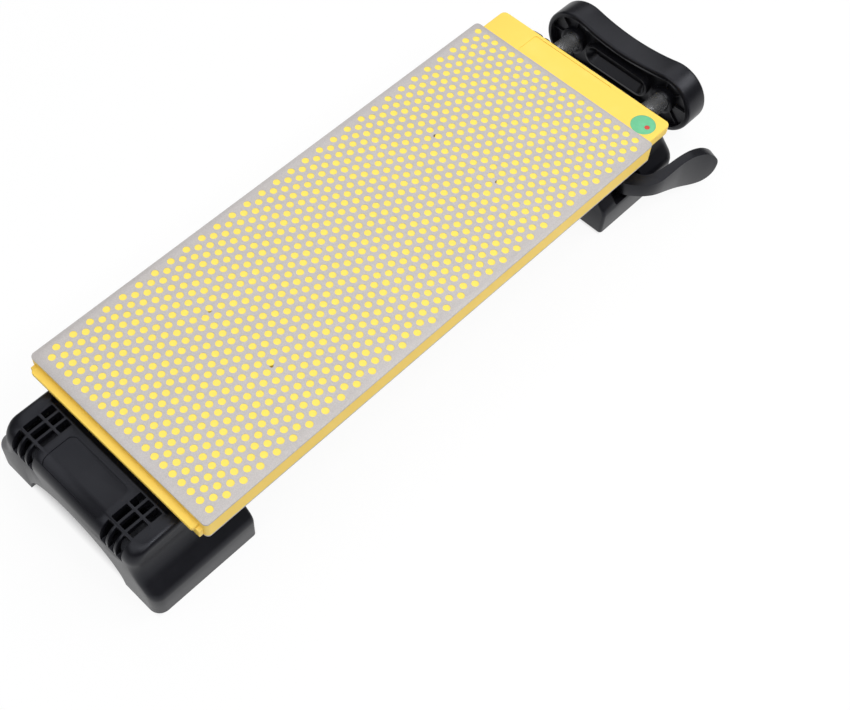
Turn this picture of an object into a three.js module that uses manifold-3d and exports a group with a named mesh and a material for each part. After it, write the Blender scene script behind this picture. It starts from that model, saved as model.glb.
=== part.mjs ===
// A two-sided sharpening stone held endwise in a bench holder with two guide rods.
// Lengths are millimetres. +X runs along the stone towards the handle and +Z is up.
// Heights count from the bench. The finished group is centred on its footprint.
import * as THREE from "three";
import { mergeVertices } from "three/addons/utils/BufferGeometryUtils.js";
import Module from "manifold-3d";

const wasm = await Module();
wasm.setup();

// Stone
const stoneTop = 45;
const stoneThickness = 9.5;
const plateLength = 254.5;
const plateWidth = 101.6;
const plateThickness = 0.8;
const restGap = 0.05;
const plateCornerRadius = 2;
const locatingHoleAlong = 64.3;
const locatingHoleAcross = 17.75;
const locatingHoleRadius = 0.8;
const locatingHoleDepth = 3;
const lipReach = 3.4;
const lipTopDrop = 3;
const lipBottomDrop = 5;
const lipSideInset = 4;
const lipCornerRadius = 1;
const cornerLipReach = 2;
const cornerLipWidth = 5;
const tabReach = 15.6;
const tabSideInset = 2.65;
const tabTopDrop = 1.5;
const tabBottomDrop = 6.5;
const tabCornerRadius = 2.5;
const labelDepth = 0.3;
const labelInset = 1.75;
const labelEndInset = 1.85;
const labelNearSide = 17;
const labelFarSide = 27.5;
const gradeDiscRadius = 5.5;
const gradeDiscThickness = 0.6;
const gradeDiscEndInset = 9.05;
const gradeDiscSideInset = 8.15;
const gradeDotRadius = 1.15;
const gradeDotOffset = 2.2;
const gradeDotThickness = 0.3;
const gradeClearance = 0.05;

// End blocks, along the stone: reaches count from the end of its plates
const blockTop = 37;
const blockReach = 26.15;
const blockUnderlap = 23.95;
const sliderShift = 2;
const seatClearance = 0.45;
const grooveReach = 4.1;
const grilleReach = 5.35;
const grilleFirstRow = 5.6;
const grilleSecondRow = 7.4;
const panelReach = 7.55;

// End blocks, across
const rimInset = 2.45;
const cheekInset = 9.1;
const grooveInset = 4.5;
const archShoulder = 19.35;
const grilleInset = 6.95;
const grilleWidth = 12.3;
const grilleRib = 1.1;
const grilleBar = 1.1;
const panelGap = 3.5;

// End blocks, section
const mouldingBottom = 0.6;
const wall = 2.6;
const rimStraightTop = 11;
const rimTopRadius = 6;
const hollowRadius = 15;
const shoulderRadius = 2.5;
const fixedEndRadius = 8;
const sliderEndRadius = 11;
const outerCornerRadius = 5;
const innerCornerRadius = 1.5;
const flankTurn = Math.PI / 4;
const seatFloor = 34;
const archHeight = 20;
const grilleFootHeight = 27;
const panelDepth = 0.5;
const panelTurn = Math.PI / 4;
const padThickness = 1.4;
const padInset = 2.5;
const padEndClearance = 1.2;

// Rubber feet
const footBeamWidth = 9.1;
const footBeamHeight = 8;
const footWidth = 5.6;
const footInset = 4.6;
const footHeight = 2.5;
const footClearance = 0.1;
const footEndMargin = 5;

// Rods and their screws
const rodRadius = 4.5;
const rodInset = 21.95;
const rodHeight = 20.5;
const rodClearance = 0.1;
const rodEndCover = 7;
const tubeRadius = 6.4;
const lockScrewCover = 14.7;
const lockScrewShank = 1.9;
const lockScrewHead = 3.5;
const lockScrewHeadHeight = 2.2;
const lockScrewSeatDrop = 4.5;
const lockScrewBite = 2;
const lockBossRadius = 4.6;
const screwClearance = 0.1;
const slotWidth = 1;
const slotDepth = 0.9;

// Handle
const handleGap = 14.1;
const handleThickness = 12.7;
const handleSideShift = 0.6;
const lobeRadius = 15.65;
const waistHalfHeight = 12.5;
const handleWall = 2.4;
const handleWeb = 3;
const handleFrontEase = 1.4;
const handleBackEase = 1.8;
const bossRadius = 6.5;
const dishDepth = 3.2;
const bossSetback = 0.2;
const ribThickness = 0.7;
const ribSetback = 2.3;
const ribTurns = [-90, -45, 0, 45, 90];
const gripGap = 2.5;
const gripHalfHeight = 4.9;
const gripWall = 1;
const gripSetback = 0.2;
const gripTaper = 2.6;
const gripFloorDepth = 4.2;
const handleScrewShank = 2;
const handleScrewHead = 4.2;
const handleScrewHeadHeight = 1.6;
const handleScrewBite = 8;

// Cam lever, its pin and the brake shoe on the near rod
const pivotUnderlap = 5.25;
const pivotFromRod = 11.6;
const pinRadius = 1.75;
const pinCover = 5;
const pinHeadRadius = 3.2;
const pinHeadHeight = 1.4;
const pinClearance = 0.06;
const mouthInward = 8.5;
const mouthOutward = 11;
const housingWall = 2.5;
const housingReach = 5;
const mouthHalfHeight = 6.5;
const mouthAxisDrop = 1;
const mouthFloor = 3.1;
const mouthInnerGap = 0.2;
const washerThickness = 0.6;
const washerRadius = 4.4;
const leverGap = 0.1;
const camRadius = 5.5;
const camLift = 0.45;
const camLiftTurn = 30;
const camBlendTurn = 15;
const camBlendStart = 165;
const camGap = 0.1;
const shoeHalfLength = 4.8;
const shoeHalfHeight = 3.8;
const shoeFromRod = 2.8;
const shoeClearance = 0.2;
const leverRise = 3.5;
const leverLength = 44.6;
const leverSpread = 27;
const leverDepth = 21.2;
const leverLean = 0.36;
const leverOutlineShares = [
  [-0.105, 0.081], [-0.101, 0.296], [-0.081, 0.4], [-0.031, 0.511], [0.036, 0.63], [0.117, 0.707],
  [0.204, 0.741], [0.314, 0.748], [0.426, 0.752], [0.52, 0.759], [0.603, 0.778], [0.695, 0.811],
  [0.785, 0.859], [0.874, 0.922], [0.964, 0.996], [1.043, 1.078], [1.099, 0.948], [1.009, 0.852],
  [0.913, 0.774], [0.816, 0.707], [0.717, 0.659], [0.617, 0.626], [0.522, 0.604], [0.415, 0.589],
  [0.294, 0.563], [0.206, 0.533], [0.139, 0.474], [0.094, 0.378], [0.076, 0.259], [0.076, 0.081],
];
const leverSideShares = [
  [-0.405, 0], [0.536, 0], [0.604, 0.005], [0.666, 0.024], [0.727, 0.052], [0.783, 0.09],
  [0.832, 0.142], [0.877, 0.208], [0.917, 0.292], [0.949, 0.396], [0.962, 0.519], [0.958, 0.637],
  [0.944, 0.755], [0.917, 0.858], [0.882, 0.929], [0.841, 0.976], [0.79, 1], [0.736, 0.995],
  [0.664, 0.962], [0.59, 0.901], [0.487, 0.802], [0.37, 0.665], [0.249, 0.528], [0.137, 0.415],
  [-0.013, 0.344], [-0.114, 0.344], [-0.405, 0.354],
];

// Smoothness of curved surfaces, as counts
const fine = 32;
const coarse = 20;
const cornerSteps = 4;
const archSteps = 20;
const lobeSteps = 14;
const waistSteps = 8;
const easeSteps = 3;

const half = 1 / 2;
const degree = Math.PI / 180;
const leastStep = 0.02;
const overshoot = 1;

const plateHalfLength = plateLength * half;
const plateHalfWidth = plateWidth * half;
const stoneBottom = stoneTop - stoneThickness;
const coreTop = stoneTop - plateThickness - restGap;
const coreBottom = stoneBottom + plateThickness + restGap;
const lipHalfWidth = plateHalfWidth - lipSideInset;
const tabHalfWidth = plateHalfWidth - tabSideInset;
const labelStart = plateHalfLength + labelInset;
const labelEnd = plateHalfLength + tabReach - labelEndInset;
const gradeDiscAlong = plateHalfLength + tabReach - gradeDiscEndInset;
const gradeDiscAcross = tabHalfWidth - gradeDiscSideInset;

const blockOuterEnd = plateHalfLength + blockReach;
const blockInnerEnd = plateHalfLength - blockUnderlap;
const sliderOuterEnd = blockOuterEnd + sliderShift;
const seatStep = plateHalfLength + seatClearance;
const grooveEnd = seatStep + grooveReach;
const grilleStart = plateHalfLength + grilleReach;
const panelStart = plateHalfLength + panelReach;
const rimHalfWidth = plateHalfWidth - rimInset;
const cheekHalfWidth = rimHalfWidth - cheekInset;
const grooveHalfWidth = cheekHalfWidth - grooveInset;
const archHalfWidth = rimHalfWidth - archShoulder;
const grilleOuterSide = cheekHalfWidth - grilleInset;
const grilleInnerSide = grilleOuterSide - grilleWidth;
const panelHalfWidth = grilleInnerSide - panelGap;
const padHalfWidth = cheekHalfWidth - padInset;
const footAcross = rimHalfWidth - footInset;
const footBeamInner = rimHalfWidth - footBeamWidth;

const rodAcross = rimHalfWidth - rodInset;
const rodFixedEnd = blockOuterEnd - rodEndCover;
const lockScrewAlong = blockInnerEnd + lockScrewCover;
const lockScrewSeat = rodHeight - rodRadius - lockScrewSeatDrop;
const boreRadius = rodRadius + rodClearance;
const handleFront = sliderOuterEnd + handleGap;
const handleBack = handleFront + handleThickness;
const gripHalfLength = rodAcross - bossRadius - gripGap;

const pivotAlong = plateHalfLength - pivotUnderlap;
const pivotAcross = rodAcross + pivotFromRod;
const mouthStart = pivotAlong - mouthInward;
const mouthEnd = pivotAlong + mouthOutward;
const mouthMiddle = rodHeight - mouthAxisDrop;
const mouthBottom = mouthMiddle - mouthHalfHeight;
const mouthTop = mouthMiddle + mouthHalfHeight;
const pinTop = mouthTop + pinCover;
const mouthInner = pivotAcross - camRadius - mouthInnerGap;
const housingStart = mouthStart - housingWall;
const housingEnd = mouthEnd + housingWall;
const housingAcross = pivotAcross + housingReach;
const housingBottom = mouthBottom - mouthFloor;
const camBottom = mouthBottom + washerThickness + leverGap + leverGap;
const camTop = mouthTop - washerThickness - leverGap - leverGap;
const leverTop = rodHeight + leverRise;
const shoeFront = rodAcross + shoeFromRod;

// Turns a geometry into a solid for cutting and joining.
function solid(geometry) {
  const bare = geometry.clone();
  bare.deleteAttribute("normal");
  bare.deleteAttribute("uv");
  const merged = mergeVertices(bare);
  return new wasm.Manifold(
    new wasm.Mesh({
      numProp: 3,
      vertProperties: new Float32Array(merged.attributes.position.array),
      triVerts: new Uint32Array(merged.index.array),
    }),
  );
}

// Turns a solid back into a geometry for a mesh.
function surface(body) {
  const mesh = body.getMesh();
  const geometry = new THREE.BufferGeometry();
  geometry.setAttribute("position", new THREE.BufferAttribute(mesh.vertProperties, 3));
  geometry.setIndex(new THREE.BufferAttribute(mesh.triVerts, 1));
  return geometry;
}

function join(...bodies) {
  return bodies.reduce((sum, body) => sum.add(body));
}

function cut(body, ...tools) {
  return tools.reduce((rest, tool) => rest.subtract(tool), body);
}

function box(x, y, z) {
  const geometry = new THREE.BoxGeometry(x[1] - x[0], y[1] - y[0], z[1] - z[0]);
  geometry.translate((x[0] + x[1]) * half, (y[0] + y[1]) * half, (z[0] + z[1]) * half);
  return solid(geometry);
}

// A cylinder along an axis letter, through a point given by its two other coordinates.
function cylinder(axis, radius, from, to, a, b, steps = fine) {
  const geometry = new THREE.CylinderGeometry(radius, radius, to - from, steps);
  const middle = (from + to) * half;
  if (axis === "x") geometry.rotateZ(Math.PI * half).translate(middle, a, b);
  if (axis === "y") geometry.translate(a, middle, b);
  if (axis === "z") geometry.rotateX(Math.PI * half).translate(a, b, middle);
  return solid(geometry);
}

// A flat outline carried straight along an axis letter: points are (y, z), (x, z) or (x, y).
function prism(axis, points, from, to) {
  const shape = new THREE.Shape(points.map(([a, b]) => new THREE.Vector2(a, b)));
  const geometry = new THREE.ExtrudeGeometry(shape, { depth: to - from, bevelEnabled: false });
  const place = new THREE.Matrix4();
  const [x, y, z] = [0, 1, 2].map((i) => new THREE.Vector3().setComponent(i, 1));
  if (axis === "x") place.makeBasis(y, z, x).setPosition(from, 0, 0);
  if (axis === "y") place.makeBasis(x, z, y.negate()).setPosition(0, to, 0);
  if (axis === "z") place.setPosition(0, 0, from);
  return solid(geometry.applyMatrix4(place));
}

// A closed skin through rings of equal point counts, with flat ends that drop the given coordinate.
function loft(rings, dropped) {
  const count = rings[0].length;
  const index = [];
  for (let ring = 0; ring + 1 < rings.length; ring++)
    for (let point = 0; point < count; point++) {
      const a = ring * count + point;
      const b = ring * count + ((point + 1) % count);
      index.push(a, b, b + count, a, b + count, a + count);
    }
  const flat = (ring) =>
    ring.map((p) => new THREE.Vector2(p[(dropped + 1) % 3], p[(dropped + 2) % 3]));
  const last = (rings.length - 1) * count;
  for (const [a, b, c] of THREE.ShapeUtils.triangulateShape(flat(rings[0]), []))
    index.push(a, c, b);
  for (const [a, b, c] of THREE.ShapeUtils.triangulateShape(flat(rings.at(-1)), []))
    index.push(last + a, last + b, last + c);
  const build = (order) => {
    const geometry = new THREE.BufferGeometry();
    geometry.setAttribute("position", new THREE.Float32BufferAttribute(rings.flat(2), 3));
    geometry.setIndex(order);
    return solid(geometry);
  };
  const body = build(index);
  return body.volume() > 0 ? body : build(index.toReversed());
}

// A rectangle with its own radius at each corner, anticlockwise from the low corner.
function roundedRectangle(x, y, radii, steps = cornerSteps) {
  const corners = [
    [x[0], y[0], 1, 1, Math.PI],
    [x[1], y[0], -1, 1, -Math.PI * half],
    [x[1], y[1], -1, -1, 0],
    [x[0], y[1], 1, -1, Math.PI * half],
  ];
  return corners.flatMap(([cx, cy, sx, sy, start], i) =>
    Array.from({ length: steps + 1 }, (_, step) => {
      const turn = start + (Math.PI * half * step) / steps;
      const r = radii[i];
      return [cx + sx * r + r * Math.cos(turn), cy + sy * r + r * Math.sin(turn)];
    }),
  );
}

// Half-width of an end block's side at a height: straight rim, rounded top, slope, hollow, shoulder.
function sideProfile() {
  const rimShare = 1 - Math.cos(flankTurn);
  const slopeFoot = [
    rimHalfWidth - rimTopRadius * rimShare,
    rimStraightTop + rimTopRadius * Math.sin(flankTurn),
  ];
  const slopeHeadAcross = cheekHalfWidth + hollowRadius * rimShare;
  const slopeHead = [slopeHeadAcross, slopeFoot[1] + slopeFoot[0] - slopeHeadAcross];
  const hollowTop = slopeHead[1] + hollowRadius * Math.sin(flankTurn);
  const points = [[rimHalfWidth, mouldingBottom], [rimHalfWidth, rimStraightTop]];
  const steps = cornerSteps;
  for (let step = 1; step <= steps; step++) {
    const turn = (flankTurn * step) / steps;
    points.push([
      rimHalfWidth - rimTopRadius * (1 - Math.cos(turn)),
      rimStraightTop + rimTopRadius * Math.sin(turn),
    ]);
  }
  for (let step = 0; step <= steps; step++) {
    const turn = flankTurn * (1 - step / steps);
    points.push([
      cheekHalfWidth + hollowRadius * (1 - Math.cos(turn)),
      hollowTop - hollowRadius * Math.sin(turn),
    ]);
  }
  for (let step = 0; step <= steps; step++) {
    const turn = (Math.PI * half * step) / steps;
    points.push([
      cheekHalfWidth - shoulderRadius * (1 - Math.cos(turn)),
      blockTop - shoulderRadius * (1 - Math.sin(turn)),
    ]);
  }
  return points;
}

const sidePoints = sideProfile();

function halfWidthAt(height) {
  for (let i = 0; i + 1 < sidePoints.length; i++) {
    const [[w0, z0], [w1, z1]] = [sidePoints[i], sidePoints[i + 1]];
    if (height <= z1) return w0 + (w1 - w0) * Math.min(1, Math.max(0, (height - z0) / (z1 - z0)));
  }
  return sidePoints.at(-1)[0];
}

// A place along the stone on an end block, given where it would be if the two blocks mirrored.
function place(side, x) {
  return side > 0 ? x + sliderShift : -x;
}

function span(side, a, b) {
  return [place(side, a), place(side, b)].sort((p, q) => p - q);
}

function endRadius(side) {
  return side > 0 ? sliderEndRadius : fixedEndRadius;
}

// How far out an end block's end face stands at a height, with its top edge rounded.
function outerEndAt(side, height) {
  const radius = endRadius(side);
  const rise = Math.max(0, height - (blockTop - radius));
  return blockOuterEnd - radius + Math.sqrt(Math.max(0, radius ** 2 - rise ** 2));
}

// The outside of an end block, or with an inset its inside, as a loft of level rings.
function blockBody(side, inset) {
  const levels = new Set(sidePoints.map(([, height]) => height));
  const steps = 2 * cornerSteps;
  for (let step = 0; step <= steps; step++)
    levels.add(
      blockTop - endRadius(side) * (1 - Math.sin((Math.PI * half * step) / steps)),
    );
  const sorted = [...levels].sort((a, b) => a - b);
  const kept = sorted.filter((z, i) => i === 0 || z - sorted[i - 1] > leastStep);
  const rings = kept.map((level) => {
    const width = halfWidthAt(level) - inset;
    const x = span(side, blockInnerEnd + inset, outerEndAt(side, level) - inset);
    const radii =
      side < 0
        ? [outerCornerRadius, innerCornerRadius, innerCornerRadius, outerCornerRadius]
        : [innerCornerRadius, outerCornerRadius, outerCornerRadius, innerCornerRadius];
    return roundedRectangle(x, [-width, width], radii).map(([a, b]) => [a, b, level]);
  });
  if (inset > 0) {
    const roof = rings.at(-1)[0][2] - inset;
    const walls = rings.filter((ring) => ring[0][2] < roof);
    walls[0].forEach((point) => (point[2] = -overshoot));
    return loft([...walls, rings.at(-1).map(([a, b]) => [a, b, roof])], 2);
  }
  return loft(rings, 2);
}

// Cuts and fillings that both end blocks share.
function endBlock(side, boreEnd) {
  let hollow = blockBody(side, wall);
  const seatRoof = box(
    span(side, blockInnerEnd, grooveEnd + wall),
    [-rimHalfWidth, rimHalfWidth],
    [seatFloor - wall, blockTop],
  );
  hollow = cut(hollow, seatRoof);
  const skin = blockBody(side, 0);
  let body = cut(skin, hollow);
  for (const hand of [-1, 1]) {
    const across = hand * rodAcross;
    const inside = span(side, blockInnerEnd + wall * half, blockOuterEnd - wall * half);
    body = join(body, cylinder("x", tubeRadius, ...inside, across, rodHeight));
    const beamSides = [hand * footBeamInner, hand * (rimHalfWidth - wall * half)];
    const beam = box(
      inside,
      [Math.min(...beamSides), Math.max(...beamSides)],
      [mouldingBottom, footBeamHeight],
    );
    body = join(body, beam.intersect(skin));
  }
  const arch = Array.from({ length: archSteps + 1 }, (_, step) => {
    const turn = (Math.PI * step) / archSteps;
    return [archHalfWidth * Math.cos(turn), archHeight * Math.sin(turn)];
  });
  arch.push([-archHalfWidth, -overshoot], [archHalfWidth, -overshoot]);
  const through = span(side, blockInnerEnd - overshoot, blockOuterEnd + overshoot);
  const tools = [prism("x", arch, ...through)];
  tools.push(
    box(
      span(side, blockInnerEnd - overshoot, seatStep),
      [-rimHalfWidth, rimHalfWidth],
      [seatFloor, blockTop + overshoot],
    ),
    box(
      span(side, seatStep - overshoot, grooveEnd),
      [-grooveHalfWidth, grooveHalfWidth],
      [seatFloor, blockTop + overshoot],
    ),
  );
  for (const hand of [-1, 1]) {
    const bore = span(side, blockInnerEnd - overshoot, boreEnd);
    tools.push(cylinder("x", boreRadius, ...bore, hand * rodAcross, rodHeight));
    const slot = footWidth * half + footClearance;
    tools.push(
      box(
        span(side, blockInnerEnd + footEndMargin, blockOuterEnd - footEndMargin),
        [hand * footAcross - slot, hand * footAcross + slot],
        [0, footHeight + footClearance],
      ),
    );
    tools.push(...grilleSlots(side, hand));
  }
  tools.push(panelBand(side));
  return cut(body, ...tools);
}

// Three columns and three rows of slots; the last row runs down the end face.
function grilleSlots(side, hand) {
  const columns = 3;
  const pitch = (grilleOuterSide - grilleInnerSide + grilleRib) / columns;
  const firstEnd = grilleStart + grilleFirstRow;
  const secondEnd = firstEnd + grilleBar + grilleSecondRow;
  const rows = [
    [grilleStart, firstEnd, seatFloor - wall],
    [firstEnd + grilleBar, secondEnd, seatFloor - wall],
    [secondEnd + grilleBar, blockOuterEnd + overshoot, grilleFootHeight],
  ];
  const slots = [];
  for (let column = 0; column < columns; column++) {
    const inner = grilleInnerSide + column * pitch;
    const across = [hand * inner, hand * (inner + pitch - grilleRib)].sort((a, b) => a - b);
    for (const [from, to, floor] of rows) {
      slots.push(box(span(side, from, to), across, [floor, blockTop + overshoot]));
    }
  }
  return slots;
}

// The shallow blank name panel, which follows the rounded end.
function panelBand(side) {
  const radius = endRadius(side);
  const centre = [blockOuterEnd - radius, blockTop - radius];
  const steps = 2 * cornerSteps;
  const arc = (reach, from, to) =>
    Array.from({ length: steps + 1 }, (_, step) => {
      const turn = from + ((to - from) * step) / steps;
      return [
        place(side, centre[0] + reach * Math.sin(turn)),
        centre[1] + reach * Math.cos(turn),
      ];
    });
  const outer = radius + overshoot;
  const inner = radius - panelDepth;
  const points = [
    [place(side, panelStart), blockTop + overshoot],
    ...arc(outer, 0, panelTurn),
    ...arc(inner, panelTurn, 0),
    [place(side, panelStart), blockTop - panelDepth],
  ];
  return prism("y", points, -panelHalfWidth, panelHalfWidth);
}

function fixedBlock() {
  let body = endBlock(-1, rodFixedEnd + rodClearance);
  for (const hand of [-1, 1]) {
    const at = [-lockScrewAlong, hand * rodAcross];
    const boss = cylinder("z", lockBossRadius, lockScrewSeat, rodHeight, ...at, coarse);
    const bore = cylinder(
      "x",
      boreRadius,
      -lockScrewAlong - 2 * lockBossRadius,
      -lockScrewAlong + 2 * lockBossRadius,
      at[1],
      rodHeight,
    );
    const hole = cylinder(
      "z",
      lockScrewShank + screwClearance,
      lockScrewSeat - overshoot,
      rodHeight,
      ...at,
      coarse,
    );
    body = cut(join(body, boss), bore, hole);
  }
  return body;
}

function sliderBlock() {
  let body = endBlock(1, blockOuterEnd + overshoot);
  const housing = box(
    [housingStart, housingEnd],
    [-housingAcross, -mouthInner + wall],
    [housingBottom, seatFloor],
  );
  body = join(body, housing);
  const bore = cylinder(
    "x",
    boreRadius,
    ...span(1, blockInnerEnd - overshoot, blockOuterEnd + overshoot),
    -rodAcross,
    rodHeight,
  );
  const mouth = box(
    [mouthStart, mouthEnd],
    [-rimHalfWidth - overshoot, -mouthInner],
    [mouthBottom, mouthTop],
  );
  const reach = shoeHalfLength + shoeClearance;
  const rise = shoeHalfHeight + shoeClearance;
  const window = box(
    [pivotAlong - reach, pivotAlong + reach],
    [-mouthInner - overshoot, -rodAcross],
    [rodHeight - rise, rodHeight + rise],
  );
  const pinHole = cylinder(
    "z",
    pinRadius + pinClearance,
    housingBottom - overshoot,
    pinTop + pinClearance,
    pivotAlong,
    -pivotAcross,
    coarse,
  );
  return cut(body, bore, mouth, window, pinHole);
}

function seatPad(side) {
  const x = span(side, blockInnerEnd + padEndClearance, seatStep - padEndClearance);
  const radii = [innerCornerRadius, innerCornerRadius, innerCornerRadius, innerCornerRadius];
  const outline = roundedRectangle(x, [-padHalfWidth, padHalfWidth], radii);
  return prism("z", outline, seatFloor + restGap, seatFloor + restGap + padThickness);
}

function rubberFoot(side, hand) {
  const margin = footEndMargin + footClearance;
  const ends = span(side, blockInnerEnd + margin, blockOuterEnd - margin);
  const radius = footWidth * half * half;
  const outline = roundedRectangle(
    ends,
    [hand * footAcross - footWidth * half, hand * footAcross + footWidth * half],
    [radius, radius, radius, radius],
  );
  return prism("z", outline, 0, footHeight);
}

// A plate of the perforated steel, plain here apart from its four locating holes.
function facePlate(bottom) {
  const radii = Array.from({ length: cornerSteps }, () => plateCornerRadius);
  const outline = roundedRectangle(
    [-plateHalfLength, plateHalfLength],
    [-plateHalfWidth, plateHalfWidth],
    radii,
  );
  const plate = prism("z", outline, bottom, bottom + plateThickness);
  return cut(plate, ...locatingHoles(bottom - overshoot, bottom + plateThickness + overshoot));
}

function locatingHoles(from, to) {
  const holes = [];
  for (const end of [-1, 1])
    for (const hand of [-1, 1])
      holes.push(
        cylinder(
          "z",
          locatingHoleRadius,
          from,
          to,
          end * locatingHoleAlong,
          hand * locatingHoleAcross,
          coarse,
        ),
      );
  return holes;
}

function stoneCore() {
  const square = [plateCornerRadius, plateCornerRadius, plateCornerRadius, plateCornerRadius];
  const outline = roundedRectangle(
    [-plateHalfLength, plateHalfLength],
    [-plateHalfWidth, plateHalfWidth],
    square,
  );
  const main = prism("z", outline, coreBottom, coreTop);
  const lipRadii = [lipCornerRadius, leastStep, leastStep, lipCornerRadius];
  const lip = prism(
    "z",
    roundedRectangle(
      [-plateHalfLength - lipReach, -plateHalfLength + overshoot],
      [-lipHalfWidth, lipHalfWidth],
      lipRadii,
    ),
    stoneTop - lipBottomDrop,
    stoneTop - lipTopDrop,
  );
  const tab = prism(
    "z",
    roundedRectangle(
      [plateHalfLength - overshoot, plateHalfLength + tabReach],
      [-tabHalfWidth, tabHalfWidth],
      [leastStep, tabCornerRadius, tabCornerRadius, leastStep],
    ),
    stoneTop - tabBottomDrop,
    stoneTop - tabTopDrop,
  );
  const heel = box(
    [plateHalfLength - overshoot, plateHalfLength + sliderShift],
    [-cheekHalfWidth, cheekHalfWidth],
    [coreBottom, stoneTop - tabBottomDrop + overshoot],
  );
  let body = join(main, lip, tab, heel);
  for (const hand of [-1, 1]) {
    const outer = plateHalfWidth - plateCornerRadius;
    const across = [hand * outer, hand * (outer - cornerLipWidth)].sort((a, b) => a - b);
    const lowest = coreBottom;
    body = join(
      body,
      box(
        [-plateHalfLength - cornerLipReach, -plateHalfLength + overshoot],
        across,
        [lowest, stoneTop - lipBottomDrop],
      ),
    );
  }
  const tabTop = stoneTop - tabTopDrop;
  const tabBottom = stoneTop - tabBottomDrop;
  const label = [labelStart, labelEnd];
  const tools = [
    box(label, [-labelNearSide, labelFarSide], [tabTop - labelDepth, tabTop + overshoot]),
    box(label, [-labelFarSide, labelNearSide], [tabBottom - overshoot, tabBottom + labelDepth]),
    ...locatingHoles(coreTop - locatingHoleDepth, coreTop + overshoot),
    ...locatingHoles(coreBottom - overshoot, coreBottom + locatingHoleDepth),
  ];
  for (const hand of [-1, 1]) {
    const face = hand < 0 ? tabTop : tabBottom;
    const depth = [
      Math.min(face, face + hand * gradeDiscThickness) - (hand > 0 ? overshoot : 0),
      Math.max(face, face + hand * gradeDiscThickness) + (hand < 0 ? overshoot : 0),
    ];
    tools.push(
      cylinder(
        "z",
        gradeDiscRadius + gradeClearance,
        depth[0],
        depth[1],
        gradeDiscAlong,
        hand * gradeDiscAcross,
      ),
    );
  }
  return cut(body, ...tools);
}

// A coloured disc let into the tab, with a pocket for its dot. hand -1 is the upper side.
function gradeDisc(hand) {
  const face = hand < 0 ? stoneTop - tabTopDrop : stoneTop - tabBottomDrop;
  const into = face + hand * (gradeDiscThickness - gradeClearance);
  const disc = cylinder(
    "z",
    gradeDiscRadius,
    Math.min(face, into),
    Math.max(face, into),
    gradeDiscAlong,
    hand * gradeDiscAcross,
  );
  const pocket = face + hand * gradeDotThickness;
  const outside = face - hand * overshoot;
  return cut(
    disc,
    cylinder(
      "z",
      gradeDotRadius + gradeClearance,
      Math.min(pocket, outside),
      Math.max(pocket, outside),
      gradeDiscAlong,
      hand * (gradeDiscAcross + gradeDotOffset),
      coarse,
    ),
  );
}

function gradeDot(hand) {
  const face = hand < 0 ? stoneTop - tabTopDrop : stoneTop - tabBottomDrop;
  const into = face + hand * (gradeDotThickness - gradeClearance);
  return cylinder(
    "z",
    gradeDotRadius,
    Math.min(face, into),
    Math.max(face, into),
    gradeDiscAlong,
    hand * (gradeDiscAcross + gradeDotOffset),
    coarse,
  );
}

function rod(hand) {
  const across = hand * rodAcross;
  const end = handleBack - handleWeb;
  const bar = cylinder("x", rodRadius, -rodFixedEnd, end - rodClearance, across, rodHeight);
  const lockHole = cylinder(
    "z",
    lockScrewShank + screwClearance,
    rodHeight - rodRadius - overshoot,
    rodHeight - rodRadius + lockScrewBite,
    -lockScrewAlong,
    across,
    coarse,
  );
  const endHole = cylinder(
    "x",
    handleScrewShank + screwClearance,
    end - handleScrewBite - screwClearance,
    end + overshoot,
    across,
    rodHeight,
    coarse,
  );
  return cut(bar, lockHole, endHole);
}

function lockScrew(hand) {
  const at = [-lockScrewAlong, hand * rodAcross];
  const bottom = lockScrewSeat - lockScrewHeadHeight;
  const top = rodHeight - rodRadius + lockScrewBite - screwClearance;
  const head = cylinder("z", lockScrewHead, bottom, lockScrewSeat, ...at, coarse);
  const shank = cylinder("z", lockScrewShank, bottom, top, ...at, coarse);
  const slot = box(
    [at[0] - lockScrewHead - overshoot, at[0] + lockScrewHead + overshoot],
    [at[1] - slotWidth * half, at[1] + slotWidth * half],
    [bottom - overshoot, bottom + slotDepth],
  );
  return cut(join(head, shank), slot);
}

function handleScrew(hand) {
  const at = [hand * rodAcross, rodHeight];
  const headSeat = handleBack - handleScrewHeadHeight;
  const tip = handleBack - handleWeb - handleScrewBite;
  const head = cylinder("x", handleScrewHead, headSeat, handleBack - screwClearance, ...at, coarse);
  const shank = cylinder("x", handleScrewShank, tip, handleBack - screwClearance, ...at, coarse);
  const slot = box(
    [handleBack - screwClearance - slotDepth, handleBack + overshoot],
    [at[0] - slotWidth * half, at[0] + slotWidth * half],
    [at[1] - handleScrewHead - overshoot, at[1] + handleScrewHead + overshoot],
  );
  return cut(join(head, shank), slot);
}

// The dog-bone outline, drawn in by an inset: two lobes about the rods and two hollow waists.
function handleOutline(inset) {
  const waistRadius =
    (rodAcross ** 2 + waistHalfHeight ** 2 - lobeRadius ** 2) /
    (2 * (lobeRadius - waistHalfHeight));
  const centreHeight = waistHalfHeight + waistRadius;
  const turn = Math.atan2(rodAcross, centreHeight);
  const lobe = lobeRadius - inset;
  const waist = waistRadius + inset;
  const points = [];
  const sweep = (centre, radius, from, to, steps) => {
    for (let step = 0; step < steps; step++) {
      const angle = from + ((to - from) * step) / steps;
      points.push([centre[0] + radius * Math.cos(angle), centre[1] + radius * Math.sin(angle)]);
    }
  };
  const quarter = Math.PI * half;
  sweep([rodAcross, 0], lobe, -quarter - turn, quarter + turn, lobeSteps);
  sweep([0, centreHeight], waist, -quarter + turn, -quarter - turn, waistSteps);
  sweep([-rodAcross, 0], lobe, quarter - turn, 3 * quarter + turn, lobeSteps);
  sweep([0, -centreHeight], waist, quarter + turn, quarter - turn, waistSteps);
  return points.map(([y, z]) => [y - handleSideShift, z + rodHeight]);
}

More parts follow.
